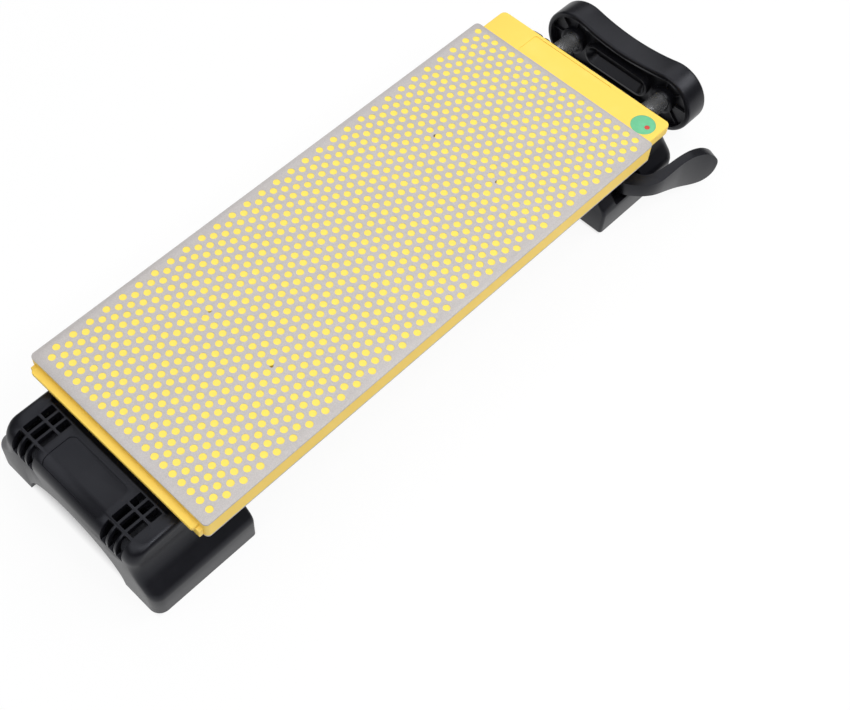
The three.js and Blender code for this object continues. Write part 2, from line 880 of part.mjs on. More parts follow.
function handleShell() {
  const rings = [];
  for (let step = 0; step <= easeSteps; step++) {
    const turn = (Math.PI * half * step) / easeSteps;
    const inset = handleFrontEase * (1 - Math.sin(turn));
    const depth = handleFrontEase * (1 - Math.cos(turn));
    rings.push(handleOutline(inset).map(([y, z]) => [handleFront + depth, y, z]));
  }
  for (let step = 0; step <= easeSteps; step++) {
    const turn = (Math.PI * half * step) / easeSteps;
    const inset = handleBackEase * (1 - Math.cos(turn));
    const depth = handleBackEase * (1 - Math.sin(turn));
    rings.push(handleOutline(inset).map(([y, z]) => [handleBack - depth, y, z]));
  }
  return loft(rings, 0);
}

// A long outline with round ends, in the middle of the handle.
function stadium(halfLength, halfHeight) {
  const reach = halfLength - halfHeight;
  const steps = lobeSteps;
  const points = [];
  for (const hand of [1, -1])
    for (let step = 0; step <= steps; step++) {
      const angle = -hand * Math.PI * half + (Math.PI * step) / steps;
      points.push([
        hand * reach + halfHeight * Math.cos(angle),
        rodHeight + halfHeight * Math.sin(angle),
      ]);
    }
  return points;
}

// A shallow dish with a boss and ribs round each rod, and a tapered finger recess between.
function handlePiece() {
  const webFront = handleBack - handleWeb;
  const dishFloor = handleFront + dishDepth;
  const ribReach = lobeRadius - handleWall * half;
  let body = cut(
    handleShell(),
    prism("x", handleOutline(handleWall), handleFront - overshoot, dishFloor),
  );
  for (const hand of [-1, 1]) {
    const across = hand * rodAcross;
    const front = handleFront + bossSetback;
    body = join(body, cylinder("x", bossRadius, front, webFront, across, rodHeight));
    for (const angle of ribTurns) {
      const depth = dishDepth - ribSetback + overshoot;
      const fin = new THREE.BoxGeometry(depth, ribReach, ribThickness);
      fin.translate(dishFloor + overshoot - depth * half, ribReach * half, 0);
      fin.rotateX(angle * degree);
      if (hand < 0) fin.rotateX(Math.PI);
      fin.translate(0, across, rodHeight);
      body = join(body, solid(fin));
    }
  }
  const lipStart = handleFront + gripSetback;
  const collar = stadium(gripHalfLength + gripWall, gripHalfHeight + gripWall);
  body = join(body, prism("x", collar, lipStart, dishFloor + overshoot));
  const recess = [
    [handleFront - overshoot, 0],
    [handleFront, 0],
    [handleFront + gripFloorDepth, gripTaper],
  ].map(([x, inset]) =>
    stadium(gripHalfLength - inset, gripHalfHeight - inset).map(([y, z]) => [x, y, z]),
  );
  body = cut(body, loft(recess, 0));
  for (const hand of [-1, 1]) {
    const at = [hand * rodAcross, rodHeight];
    body = cut(
      body,
      cylinder("x", boreRadius, handleFront - overshoot, webFront, ...at),
      cylinder(
        "x",
        handleScrewShank + screwClearance,
        webFront - overshoot,
        handleBack + overshoot,
        ...at,
        coarse,
      ),
      cylinder(
        "x",
        handleScrewHead + screwClearance,
        handleBack - handleScrewHeadHeight - screwClearance,
        handleBack + overshoot,
        ...at,
        coarse,
      ),
    );
  }
  return body;
}

// The cam falls away evenly from its full radius, so the shoe backs off evenly as the lever opens.
function camOutline() {
  const steps = 2 * fine;
  return Array.from({ length: steps }, (_, step) => {
    const turn = (360 * step) / steps;
    const past = turn - 90;
    let drop = 0;
    if (past > 0) drop = camLift * Math.min(1, past / camLiftTurn);
    if (turn > camBlendStart) drop = camLift * Math.max(0, 1 - (turn - camBlendStart) / camBlendTurn);
    const radius = camRadius - drop;
    return [
      pivotAlong + radius * Math.cos(turn * degree),
      -pivotAcross + radius * Math.sin(turn * degree),
    ];
  });
}

// The side view is drawn along the paddle, which leans outwards, so it is carried across aslant.
function camLever() {
  const plan = leverOutlineShares.map(([along, across]) => [
    pivotAlong + leverLength * along,
    -pivotAcross - leverSpread * across,
  ]);
  const reach = pivotAcross + leverSpread;
  const sideAt = (across) =>
    leverSideShares.map(([along, down]) => [
      pivotAlong + leverLength * along + leverLean * (reach - across),
      -across,
      leverTop - leverDepth * down,
    ]);
  const arm = prism("z", plan, 0, leverTop + overshoot).intersect(
    loft([sideAt(reach + overshoot), sideAt(0)], 1),
  );
  const hub = prism("z", camOutline(), camBottom, camTop);
  const hole = cylinder(
    "z",
    pinRadius + pinClearance,
    0,
    blockTop,
    pivotAlong,
    -pivotAcross,
    coarse,
  );
  return cut(join(arm, hub), hole);
}

function pivotPin() {
  const at = [pivotAlong, -pivotAcross];
  const shank = cylinder("z", pinRadius, housingBottom - pinHeadHeight, pinTop, ...at, coarse);
  const head = cylinder(
    "z",
    pinHeadRadius,
    housingBottom - pinHeadHeight,
    housingBottom - pinClearance,
    ...at,
    coarse,
  );
  return join(shank, head);
}

function washer(bottom) {
  const at = [pivotAlong, -pivotAcross];
  const disc = cylinder("z", washerRadius, bottom, bottom + washerThickness, ...at, coarse);
  const hole = cylinder("z", pinRadius + pinClearance, 0, blockTop, ...at, coarse);
  return cut(disc, hole);
}

function brakeShoe() {
  const back = -pivotAcross + camRadius + camGap;
  const block = box(
    [pivotAlong - shoeHalfLength, pivotAlong + shoeHalfLength],
    [back, -shoeFront],
    [rodHeight - shoeHalfHeight, rodHeight + shoeHalfHeight],
  );
  const saddle = cylinder(
    "x",
    rodRadius + rodClearance * half,
    pivotAlong - 2 * shoeHalfLength,
    pivotAlong + 2 * shoeHalfLength,
    -rodAcross,
    rodHeight,
    2 * fine,
  );
  return cut(block, saddle);
}

const looks = {
  black: { color: 0x232426, roughness: 0.38, metalness: 0 },
  rubber: { color: 0x18181a, roughness: 0.85, metalness: 0 },
  yellow: { color: 0xf0d544, roughness: 0.45, metalness: 0 },
  plate: { color: 0xb9b4b1, roughness: 0.5, metalness: 0.8 },
  chrome: { color: 0xd6d8da, roughness: 0.12, metalness: 1 },
  steel: { color: 0x9a9c9f, roughness: 0.35, metalness: 1 },
  green: { color: 0x5fc191, roughness: 0.5, metalness: 0 },
  red: { color: 0xd94a48, roughness: 0.5, metalness: 0 },
};

const part = new THREE.Group();
part.name = "bench_stone";

function add(name, look, body) {
  const mesh = new THREE.Mesh(surface(body), new THREE.MeshStandardMaterial(looks[look]));
  mesh.name = name;
  part.add(mesh);
}

add("stone_core", "yellow", stoneCore());
add("face_plate_upper", "plate", facePlate(stoneTop - plateThickness));
add("face_plate_lower", "plate", facePlate(stoneBottom));
add("grade_disc_upper", "green", gradeDisc(-1));
add("grade_dot_upper", "red", gradeDot(-1));
add("grade_disc_lower", "red", gradeDisc(1));
add("grade_dot_lower", "green", gradeDot(1));
add("fixed_block", "black", fixedBlock());
add("fixed_seat_pad", "rubber", seatPad(-1));
add("fixed_foot_near", "rubber", rubberFoot(-1, -1));
add("fixed_foot_far", "rubber", rubberFoot(-1, 1));
add("rod_near", "chrome", rod(-1));
add("rod_far", "chrome", rod(1));
add("lock_screw_near", "steel", lockScrew(-1));
add("lock_screw_far", "steel", lockScrew(1));
add("handle", "black", handlePiece());
add("handle_screw_near", "steel", handleScrew(-1));
add("handle_screw_far", "steel", handleScrew(1));
add("slider_block", "black", sliderBlock());
add("slider_seat_pad", "rubber", seatPad(1));
add("slider_foot_near", "rubber", rubberFoot(1, -1));
add("slider_foot_far", "rubber", rubberFoot(1, 1));
add("pivot_pin", "steel", pivotPin());
add("washer_lower", "steel", washer(mouthBottom + leverGap * half));
add("washer_upper", "steel", washer(mouthTop - washerThickness - leverGap * half));
add("cam_lever", "black", camLever());
add("brake_shoe", "rubber", brakeShoe());

// The origin goes to the middle of the footprint, on the bench.
const bounds = new THREE.Box3().setFromObject(part);
const middle = bounds.getCenter(new THREE.Vector3());
part.position.set(-middle.x, -middle.y, -bounds.min.z);

export default part;
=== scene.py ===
"""A two-sided sharpening stone in its bench holder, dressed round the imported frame."""

import math

import bmesh
import bpy
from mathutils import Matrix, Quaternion, Vector

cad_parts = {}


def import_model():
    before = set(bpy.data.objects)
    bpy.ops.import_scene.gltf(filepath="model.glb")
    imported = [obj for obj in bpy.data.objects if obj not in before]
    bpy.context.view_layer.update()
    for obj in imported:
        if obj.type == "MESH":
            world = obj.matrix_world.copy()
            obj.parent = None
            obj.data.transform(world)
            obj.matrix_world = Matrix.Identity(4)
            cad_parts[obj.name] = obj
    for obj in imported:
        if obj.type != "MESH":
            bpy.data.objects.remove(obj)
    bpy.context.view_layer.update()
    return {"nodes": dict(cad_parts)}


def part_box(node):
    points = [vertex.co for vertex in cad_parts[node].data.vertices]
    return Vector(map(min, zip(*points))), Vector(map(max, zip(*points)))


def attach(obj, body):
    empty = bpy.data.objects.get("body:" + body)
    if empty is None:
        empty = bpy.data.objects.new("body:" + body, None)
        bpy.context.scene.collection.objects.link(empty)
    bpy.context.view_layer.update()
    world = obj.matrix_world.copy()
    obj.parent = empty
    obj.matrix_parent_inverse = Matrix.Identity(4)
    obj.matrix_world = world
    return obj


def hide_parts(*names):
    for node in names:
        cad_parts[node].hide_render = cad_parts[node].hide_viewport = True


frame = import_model()

MM = 0.001

# The stone's middle is the zero of every length below, with heights from the bench.
plate_low, plate_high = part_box("face_plate_upper")
MIDDLE = (plate_low + plate_high) / 2
PLATE_HALF_LENGTH = (plate_high.x - plate_low.x) / 2 / MM
PLATE_HALF_WIDTH = (plate_high.y - plate_low.y) / 2 / MM
STONE_TOP = plate_high.z / MM
PLATE_THICKNESS = (plate_high.z - plate_low.z) / MM
STONE_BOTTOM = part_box("face_plate_lower")[0].z / MM
PLATE_CORNER = 2.0
PLATE_EASE = 0.12
BOND = 0.05

# Steps round a circle
ROUND_STEPS = 64
FINE_STEPS = 96
SMALL_STEPS = 32
PEG_STEPS = 24

# The angles, in degrees, from which an edge is eased, stays sharp or counts as flat
EDGE_ANGLE = 40
CORNER_ANGLE = 50
SMOOTH_ANGLE = 32
MOULDING_SMOOTH_ANGLE = 34
LEVER_SMOOTH_ANGLE = 35
FLAT_ANGLE = 0.5

# The gaps that tidying a mesh closes, and how upright the end face of a peg is at least
HAIR_GAP = 0.004
LEVER_HAIR_GAP = 0.02
UPRIGHT = 0.9

# Dots
DOT_RADIUS = 3.175 / 2
DOT_ROWS = 60
DOTS_A_ROW = 19
DOT_ROW_PITCH = 4.149
DOT_PITCH = 5.027
DOT_FIRST_ROW = -121.52
DOT_FIRST_EVEN = -46.37
DOT_SINK = 0.12
DOT_ROOT = 0.5
DOT_GAP = 0.02
DOT_RIM = 0.3
DOT_DISH = 0.05
DOT_STEPS = 20
PIN_HOLE_ALONG = 64.3
PIN_HOLE_ACROSS = 17.75
PIN_HOLE_RADIUS = 0.8
PIN_HOLE_DEPTH = 3
PIN_HOLE_LOWER_END = 4

# Core ends
LIP_REACH = 3.4
LIP_TOP_DROP = 3.0
LIP_BOTTOM_DROP = 5.0
LIP_HALF_WIDTH = 46.8
LIP_CORNER = 1.4
LIP_EASE = 0.35
ROOT_CORNER = 0.5
CORNER_LIP_REACH = 2.0
CORNER_LIP_WIDTH = 5.0
TAB_REACH = 15.6
TAB_HALF_WIDTH = 48.15
TAB_TOP_DROP = 1.5
TAB_BOTTOM_DROP = 6.5
TAB_CORNER = 2.5
TAB_EASE = 0.45
LABEL_X = (129.0, 141.0)
LABEL_Y = (-17.0, 27.5)
LABEL_DEPTH = 0.3
LABEL_CORNER = 1.2
DISC_RADIUS = 5.5
DISC_X = 133.8
DISC_Y = 40.0
DISC_DOT_OFFSET = 2.2
DISC_DOT_RADIUS = 1.15
DISC_THICKNESS = 0.5
DISC_GAP = 0.05
DISC_EASE = 0.08
DISC_DOT_EASE = 0.06
DISC_DOT_SHARE = 0.55
DISC_DOT_POCKET_SHARE = 0.6

# End blocks
BLOCK_TOP = 37.0
BLOCK_END = 153.4
BLOCK_INNER = 103.3
SLIDER_SHIFT = 2.0
BLOCK_BOTTOM = 0.6
WALL = 2.6
RIM_HALF_WIDTH = 48.35
RIM_TOP = 11.0
RIM_RADIUS = 6.0
RING_STEP = 0.03
FOOT_Y = 43.75
FOOT_END_INSET = 5
FOOT_SLOT_HALF_WIDTH = 2.9
FOOT_SLOT_TOP = 2.6
BEAM_TOP = 8.0
HOLLOW_RADIUS = 15.0
CHEEK_HALF_WIDTH = 39.25
SHOULDER_RADIUS = 2.5
FIXED_END_RADIUS = 8.0
SLIDER_END_RADIUS = 12.5
OUTER_CORNER = 5.0
INNER_CORNER = 1.5
SEAT_FLOOR = 34.0
SEAT_GAP = 0.45
SEAT_CORNER = 1.6
GROOVE_REACH = 4.1
GROOVE_HALF_WIDTH = 34.75
ARCH_HALF_WIDTH = 29.0
ARCH_HEIGHT = 20.0
GRILLE_Y = (20.0, 32.3)
GRILLE_RIB = 1.1
GRILLE_BAR = 1.1
GRILLE_RIB_GAP = 0.1
GRILLE_CORNER = 0.35
GRILLE_COLUMNS = 3
GRILLE_START = 132.6
GRILLE_ROWS = (5.6, 7.4)
GRILLE_FOOT = 27.0
PANEL_HALF_WIDTH = 16.5
PANEL_START = 134.8
PANEL_DEPTH = 0.5
PANEL_CORNER = 3.0
MOULDING_EASE = 0.3
BORE_END_COVER = 6.9

# Rods and handle
ROD_RADIUS = 4.5
ROD_Y = 26.4
ROD_Z = 20.5
ROD_GAP = 0.1
ROD_EASE = 0.5
TUBE_RADIUS = 6.4
HANDLE_FRONT = 169.5
HANDLE_BACK = 182.2
HANDLE_SIDE_SHIFT = 0.6
LOBE_RADIUS = 15.65
WAIST = 12.5
HANDLE_WALL = 2.4
HANDLE_WEB = 3.0
FRONT_EASE = 1.4
BACK_EASE = 1.8
HANDLE_EASE = 0.25
DISH_EASE = 1.2
BOSS_RADIUS = 6.5
DISH_DEPTH = 3.2
BOSS_SETBACK = 0.2
FIN_SETBACK = 2.3
GRIP_HALF_LENGTH = 17.4
GRIP_HALF_HEIGHT = 4.9
GRIP_WALL = 1.0
GRIP_SETBACK = 0.2
GRIP_TAPER = 2.6
GRIP_DEPTH = 4.2
RIB_THICKNESS = 0.7
SCREW_HEAD = 4.2
SCREW_HEAD_GAP = 0.1
SCREW_HEAD_DEPTH = 1.7
SHANK_HOLE_RADIUS = 2.1
FIN_ANGLES = (-90, -45, 0, 45, 90)

# Clamp lever
PIVOT_X = 122.0
PIVOT_Y = -38.0
PIN_RADIUS = 1.81
LEVER_TOP = 24.0
LEVER_LENGTH = 44.6
LEVER_SPREAD = 27.0
LEVER_DEPTH = 21.2
LEVER_LEAN = 0.36
LEVER_INNER_SHARE = -0.405
LEVER_EASE = 0.6
HUB_EASE = 0.3
CAM_RADIUS = 5.5
CAM_Z = (13.8, 25.2)
CAM_LIFT = 0.45
CAM_LIFT_TURN = 30
CAM_BLEND_START = 165
CAM_BLEND_TURN = 15
CAM_LIFT_START = 90
CAM_GAP = 0.05
MOUTH_X = (113.5, 133.0)
MOUTH_Z = (13.0, 26.0)
HOUSING_X = (111.0, 135.5)
HOUSING_Y = 43.0
HOUSING_BOTTOM = 9.9
HOUSING_EASE = 0.8
MOUTH_CORNER = 1.0
MOUTH_GAP = 0.2
WINDOW_HALF_LENGTH = 5
WINDOW_HALF_HEIGHT = 4
PIN_HOLE_COVER = 5.06

# How far a tool runs past what it cuts
OVER = 1.0

# Bench, light and camera
FLOOR_SIZE = 6.0
FLOOR_GLOW = 0.92
FLOOR_COLOUR = (0.86, 0.86, 0.87, 1)
# The width over which the floor's painted shade under a block fades out
PAINTED_SHADE_FADE = 5.0
WORLD_GLOW = 0.10
CAMERA_PLACE = (-243.25, -237.32, 497.6)
CAMERA_AIM = (0.38097, 0.37615, -0.84462)
CAMERA_ROLL = 0.638
CAMERA_LENS = 59.12
CAMERA_SHIFT = 0.08643
CAMERA_SENSOR = 36

# Each softbox has a name, a place, an aim, its two sides and a power.
SOFTBOXES = (
    ("overhead", (0.45, 0.5, 0.95), (0.1, 0.1, 0), (1.3, 1.1), 6.0),
    ("key", (0.0, -0.48, 1.08), (0, 0, 0), (1.5, 0.85), 8.0),
    ("spark", (0.12, -0.79, 1.06), (0, 0, 0), (0.25, 0.25), 2.6),
    ("fill", (-0.65, 0.15, 0.85), (0, 0, 0), (0.8, 0.9), 3.5),
    ("side", (1.0, -0.5, 0.95), (0.15, 0, 0), (0.6, 0.5), 4.6),
)

# Colours
BLACK_DEEP = (0.0046, 0.0046, 0.0062, 1)
BLACK_MOULDING = (0.0072, 0.0072, 0.0094, 1)
BLACK_GLOSS = (0.0070, 0.0070, 0.0092, 1)
RUBBER_DEEP = (0.010, 0.010, 0.011, 1)
RUBBER_DUSTY = (0.022, 0.022, 0.023, 1)
YELLOW_CORE = (0.90, 0.625, 0.10, 1)
YELLOW_RUBBED = (0.92, 0.67, 0.15, 1)
YELLOW_DOT = (0.90, 0.69, 0.11, 1)
YELLOW_USED = (0.86, 0.67, 0.14, 1)
NICKEL_DARK = (0.385, 0.362, 0.356, 1)
NICKEL_PALE = (0.60, 0.57, 0.56, 1)
CHROME_DARK = (0.70, 0.71, 0.73, 1)
CHROME_PALE = (0.84, 0.85, 0.86, 1)
ZINC_DARK = (0.42, 0.43, 0.44, 1)
ZINC_PALE = (0.62, 0.63, 0.64, 1)
DISC_GREEN = (0.135, 0.50, 0.26, 1)
DISC_GREEN_WORN = (0.18, 0.55, 0.32, 1)
DISC_RED = (0.56, 0.05, 0.045, 1)
DISC_RED_WORN = (0.62, 0.10, 0.08, 1)
MOULDING_SHEEN = (0.86, 0.89, 1.0, 1)
GLOSS_SHEEN = (0.88, 0.9, 1.0, 1)


# Placing and cutting


def at(x, y, z):
    """A point of the stone's own millimetres as a point of the frame."""
    return Vector((MIDDLE.x + x * MM, MIDDLE.y + y * MM, z * MM))


def deselect():
    bpy.ops.object.select_all(action="DESELECT")


def pick(piece):
    deselect()
    piece.select_set(True)
    bpy.context.view_layer.objects.active = piece
    return piece


def settle(name):
    """Names the new primitive and moves its place into its mesh."""
    piece = bpy.context.object
    piece.name = name
    piece.data.name = name
    pick(piece)
    bpy.ops.object.transform_apply(location=True, rotation=True, scale=True)
    return piece


def add_box(name, x, y, z):
    deselect()
    low, high = at(x[0], y[0], z[0]), at(x[1], y[1], z[1])
    bpy.ops.mesh.primitive_cube_add(size=1, location=(low + high) / 2)
    bpy.context.object.scale = high - low
    return settle(name)


def add_rod(name, axis, radius, start, end, a, b, steps=ROUND_STEPS):
    """A cylinder along an axis letter, through a point given by its two other coordinates."""
    deselect()
    middle = (start + end) / 2
    centre = {"x": at(middle, a, b), "y": at(a, middle, b), "z": at(a, b, middle)}[axis]
    turn = {"x": (0, math.pi / 2, 0), "y": (math.pi / 2, 0, 0), "z": (0, 0, 0)}[axis]
    bpy.ops.mesh.primitive_cylinder_add(
        vertices=steps,
        radius=radius * MM,
        depth=(end - start) * MM,
        location=centre,
        rotation=turn,
    )
    return settle(name)


def face_outwards(piece):
    """Turns every face of a closed mesh to the outside."""
    pick(piece)
    bpy.ops.object.mode_set(mode="EDIT")
    bpy.ops.mesh.select_all(action="SELECT")
    bpy.ops.mesh.normals_make_consistent(inside=False)
    bpy.ops.object.mode_set(mode="OBJECT")
    return piece


def spot(point):
    """A key that finds a vertex again by its place."""
    return tuple(round(value, 7) for value in point)


def add_loft(name, rings):
    """Starts as a flat filled ring, which is extruded from ring to ring and shaped at each."""
    deselect()
    bpy.ops.mesh.primitive_circle_add(vertices=len(rings[0]), radius=MM, fill_type="NGON")
    piece = settle(name)
    for vertex, point in zip(piece.data.vertices, rings[0]):
        vertex.co = at(*point)
    bpy.ops.object.mode_set(mode="EDIT")
    bpy.ops.mesh.select_all(action="SELECT")
    for before, after in zip(rings, rings[1:]):
        moves = {spot(at(*old)): at(*new) for old, new in zip(before, after)}
        bpy.ops.mesh.extrude_region_move()
        mesh = bmesh.from_edit_mesh(piece.data)
        for vertex in mesh.verts:
            if vertex.select:
                vertex.co = moves[spot(vertex.co)]
        bmesh.update_edit_mesh(piece.data)
    bpy.ops.object.mode_set(mode="OBJECT")
    return face_outwards(piece)


def add_prism(name, axis, outline, start, end):
    """An outline carried straight along an axis letter: points are (y, z), (x, z) or (x, y)."""
    point = {
        "x": lambda a, b, depth: (depth, a, b),
        "y": lambda a, b, depth: (a, depth, b),
        "z": lambda a, b, depth: (a, b, depth),
    }[axis]
    return add_loft(name, [[point(a, b, depth) for a, b in outline] for depth in (start, end)])


def apply_modifier(piece, kind, **settings):
    """Adds a modifier with the given settings and makes it part of the mesh."""
    modifier = piece.modifiers.new(kind.lower(), kind)
    for name, value in settings.items():
        setattr(modifier, name, value)
    pick(piece)
    bpy.ops.object.modifier_apply(modifier=modifier.name)
    return piece


def combine(piece, tools, operation):
    """Works each tool into the piece in turn, and removes the tool."""
    for tool in tools:
        apply_modifier(piece, "BOOLEAN", object=tool, operation=operation, solver="MANIFOLD")
        bpy.data.objects.remove(tool)
    return piece


def cut(piece, *tools):
    return combine(piece, tools, "DIFFERENCE")


def join(piece, *tools):
    return combine(piece, tools, "UNION")


def common(piece, *tools):
    return combine(piece, tools, "INTERSECT")


def copy_of(piece, name):
    twin = piece.copy()
    twin.data = piece.data.copy()
    twin.name = name
    twin.data.name = name
    bpy.context.scene.collection.objects.link(twin)
    return twin


def ease(piece, width, steps=2, angle=EDGE_ANGLE):
    """Rounds every edge that is sharper than the angle."""
    return apply_modifier(
        piece,
        "BEVEL",
        width=width * MM,
        segments=steps,
        limit_method="ANGLE",
        angle_limit=math.radians(angle),
        use_clamp_overlap=True,
        miter_outer="MITER_ARC",
    )


def smooth(piece, angle=SMOOTH_ANGLE):
    pick(piece)
    bpy.ops.object.shade_smooth_by_angle(angle=math.radians(angle))
    return piece


def tidy_mesh(piece, distance=HAIR_GAP):
    """Closes the hair gaps that cutting leaves, so that the bevel has room."""
    pick(piece)
    bpy.ops.object.mode_set(mode="EDIT")
    bpy.ops.mesh.select_all(action="SELECT")
    bpy.ops.mesh.remove_doubles(threshold=distance * MM)
    bpy.ops.mesh.dissolve_limited(angle_limit=math.radians(FLAT_ANGLE))
    bpy.ops.object.mode_set(mode="OBJECT")
    return piece


# Outlines


def arc(centre, radius, start, end, steps):
    """Points round an arc, with both ends, in degrees."""
    angles = [math.radians(start + (end - start) * step / steps) for step in range(steps + 1)]
    return [(centre[0] + radius * math.cos(a), centre[1] + radius * math.sin(a)) for a in angles]


def rounded(x, y, radii, steps=8):
    """A rectangle with its own radius at each corner, anticlockwise from the low corner."""
    low_low, high_low, high_high, low_high = radii
    return (
        arc((x[0] + low_low, y[0] + low_low), low_low, 180, 270, steps)
        + arc((x[1] - high_low, y[0] + high_low), high_low, 270, 360, steps)
        + arc((x[1] - high_high, y[1] - high_high), high_high, 0, 90, steps)
        + arc((x[0] + low_high, y[1] - low_high), low_high, 90, 180, steps)
    )


def ordered(a, b):
    return (min(a, b), max(a, b))


def flowing(points, steps=6):
    """A smooth curve through points, spaced by the root of their distances."""
    ends = [points[0], *points, points[-1]]
    ends[0] = tuple(2 * a - b for a, b in zip(points[0], points[1]))
    ends[-1] = tuple(2 * a - b for a, b in zip(points[-1], points[-2]))
    curve = []
    for four in zip(ends, ends[1:], ends[2:], ends[3:]):
        knots = [0.0]
        for a, b in zip(four, four[1:]):
            knots.append(knots[-1] + math.sqrt(math.dist(a, b)))
        for step in range(steps):
            t = knots[1] + (knots[2] - knots[1]) * step / steps
            curve.append(between(four, knots, t))
    return [*curve, points[-1]]


def between(four, knots, t):
    first = [weigh(four[i], four[i + 1], knots[i], knots[i + 1], t) for i in range(3)]
    second = [weigh(first[i], first[i + 1], knots[i], knots[i + 2], t) for i in range(2)]
    return weigh(second[0], second[1], knots[1], knots[2], t)


def weigh(a, b, start, end, t):
    share = (t - start) / (end - start)
    return tuple(p + (q - p) * share for p, q in zip(a, b))


# Paint


class Value:
    """A shader socket that takes part in ordinary arithmetic."""

    def __init__(self, paint, socket):
        self.paint = paint
        self.socket = socket

    def maths(self, operation, *values):
        return self.paint.node("ShaderNodeMath", {"operation": operation}, *values)

    def __add__(self, other):
        return self.maths("ADD", self, other)

    def __radd__(self, other):
        return self.maths("ADD", other, self)

    def __sub__(self, other):
        return self.maths("SUBTRACT", self, other)

    def __rsub__(self, other):
        return self.maths("SUBTRACT", other, self)

    def __mul__(self, other):
        return self.maths("MULTIPLY", self, other)

    def clipped(self, low, high):
        """0 below low, 1 above high, and even between."""
        return self.paint.node("ShaderNodeMapRange", {"clamp": True}, self, low, high, 0.0, 1.0)


class Paint:
    """A material with one Principled shader, whose patterns follow the piece itself."""

    def __init__(self, name, **constants):
        self.material = bpy.data.materials.new(name)
        self.material.use_nodes = True
        self.tree = self.material.node_tree
        self.shader = self.tree.nodes["Principled BSDF"]
        for socket, value in constants.items():
            self.shader.inputs[socket.replace("_", " ")].default_value = value

    def node(self, kind, settings, *values, out=0):
        node = self.tree.nodes.new(kind)
        for name, value in settings.items():
            setattr(node, name, value)
        for socket, value in zip(node.inputs, values):
            self.feed(socket, value)
        return Value(self, node.outputs[out])

    def feed(self, socket, value):
        if isinstance(value, Value):
            self.tree.links.new(value.socket, socket)
        elif value is not None:
            socket.default_value = value

    def set(self, name, value):
        self.feed(self.shader.inputs[name], value)

    def place(self):
        """The piece's own coordinates."""
        return self.node("ShaderNodeTexCoord", {}, out=3)

    def noise(self, size, detail=2.0, place=None):
        """Noise whose blotches are about the given size in millimetres."""
        place = place or self.place()
        return self.node("ShaderNodeTexNoise", {}, place, None, 1 / (size * MM), detail, 0.5)

    def cells(self, size, place=None, out=0):
        """Small cells of about the given size: out 0 is the distance, out 1 a colour for each."""
        place = place or self.place()
        return self.node("ShaderNodeTexVoronoi", {}, place, None, 1 / (size * MM), out=out)

    def mix(self, share, first, second):
        """Blends two colours by a share from 0 to 1."""
        node = self.tree.nodes.new("ShaderNodeMix")
        node.data_type = "RGBA"
        self.feed(node.inputs[0], share)
        self.feed(node.inputs[6], first)
        self.feed(node.inputs[7], second)
        return Value(self, node.outputs[2])

    def bump(self, height, strength, distance):
        """Roughens the surface by a height that is worth the given millimetres at 1."""
        node = self.node("ShaderNodeBump", {}, strength, distance * MM, None, height)
        self.set("Normal", node)


def black_moulding():
    """Satin black plastic with a fine spark grain."""
    paint = Paint("black_moulding", Specular_IOR_Level=0.3, Specular_Tint=MOULDING_SHEEN)
    grain = paint.noise(size=0.35, detail=3.0)
    patches = paint.noise(size=14.0)
    shade = patches.clipped(low=0.35, high=0.7)
    paint.set("Base Color", paint.mix(shade, BLACK_DEEP, BLACK_MOULDING))
    paint.set("Roughness", 0.3 + grain * 0.08 + patches * 0.05)
    paint.bump(grain, strength=0.35, distance=0.02)
    return paint.material


def black_gloss():
    """The smoother black of the lever and the handle."""
    paint = Paint("black_gloss", Specular_IOR_Level=0.3, Specular_Tint=GLOSS_SHEEN)
    grain = paint.noise(size=0.5, detail=2.0)
    patches = paint.noise(size=9.0)
    shade = patches.clipped(low=0.35, high=0.7)
    paint.set("Base Color", paint.mix(shade, BLACK_DEEP, BLACK_GLOSS))
    paint.set("Roughness", 0.3 + grain * 0.06)
    paint.bump(grain, strength=0.2, distance=0.012)
    return paint.material


def black_rubber():
    paint = Paint("black_rubber", Specular_IOR_Level=0.3)
    grain = paint.noise(size=0.25, detail=4.0)
    paint.set("Base Color", paint.mix(grain, RUBBER_DEEP, RUBBER_DUSTY))
    paint.set("Roughness", 0.72 + grain * 0.2)
    paint.bump(grain, strength=0.5, distance=0.05)
    return paint.material


def yellow_plastic():
    """The core's bright yellow, a little paler where it is rubbed."""
    paint = Paint("yellow_plastic", Specular_IOR_Level=0.4)
    patches = paint.noise(size=18.0, detail=3.0)
    specks = paint.noise(size=0.5, detail=2.0)
    rubbed = patches.clipped(low=0.52, high=0.75) * 0.5
    paint.set("Base Color", paint.mix(rubbed, YELLOW_CORE, YELLOW_RUBBED))
    paint.set("Roughness", 0.42 + specks * 0.12)
    paint.bump(specks, strength=0.25, distance=0.02)
    return paint.material


def yellow_dots():
    """The dots, which pick up a trace of grey from use."""
    paint = Paint("yellow_dots", Specular_IOR_Level=0.35)
    patches = paint.noise(size=9.0, detail=3.0)
    specks = paint.noise(size=0.4, detail=2.0)
    used = patches.clipped(low=0.45, high=0.8) * 0.45
    paint.set("Base Color", paint.mix(used, YELLOW_DOT, YELLOW_USED))
    paint.set("Roughness", 0.45 + specks * 0.15)
    paint.bump(specks, strength=0.25, distance=0.02)
    return paint.material


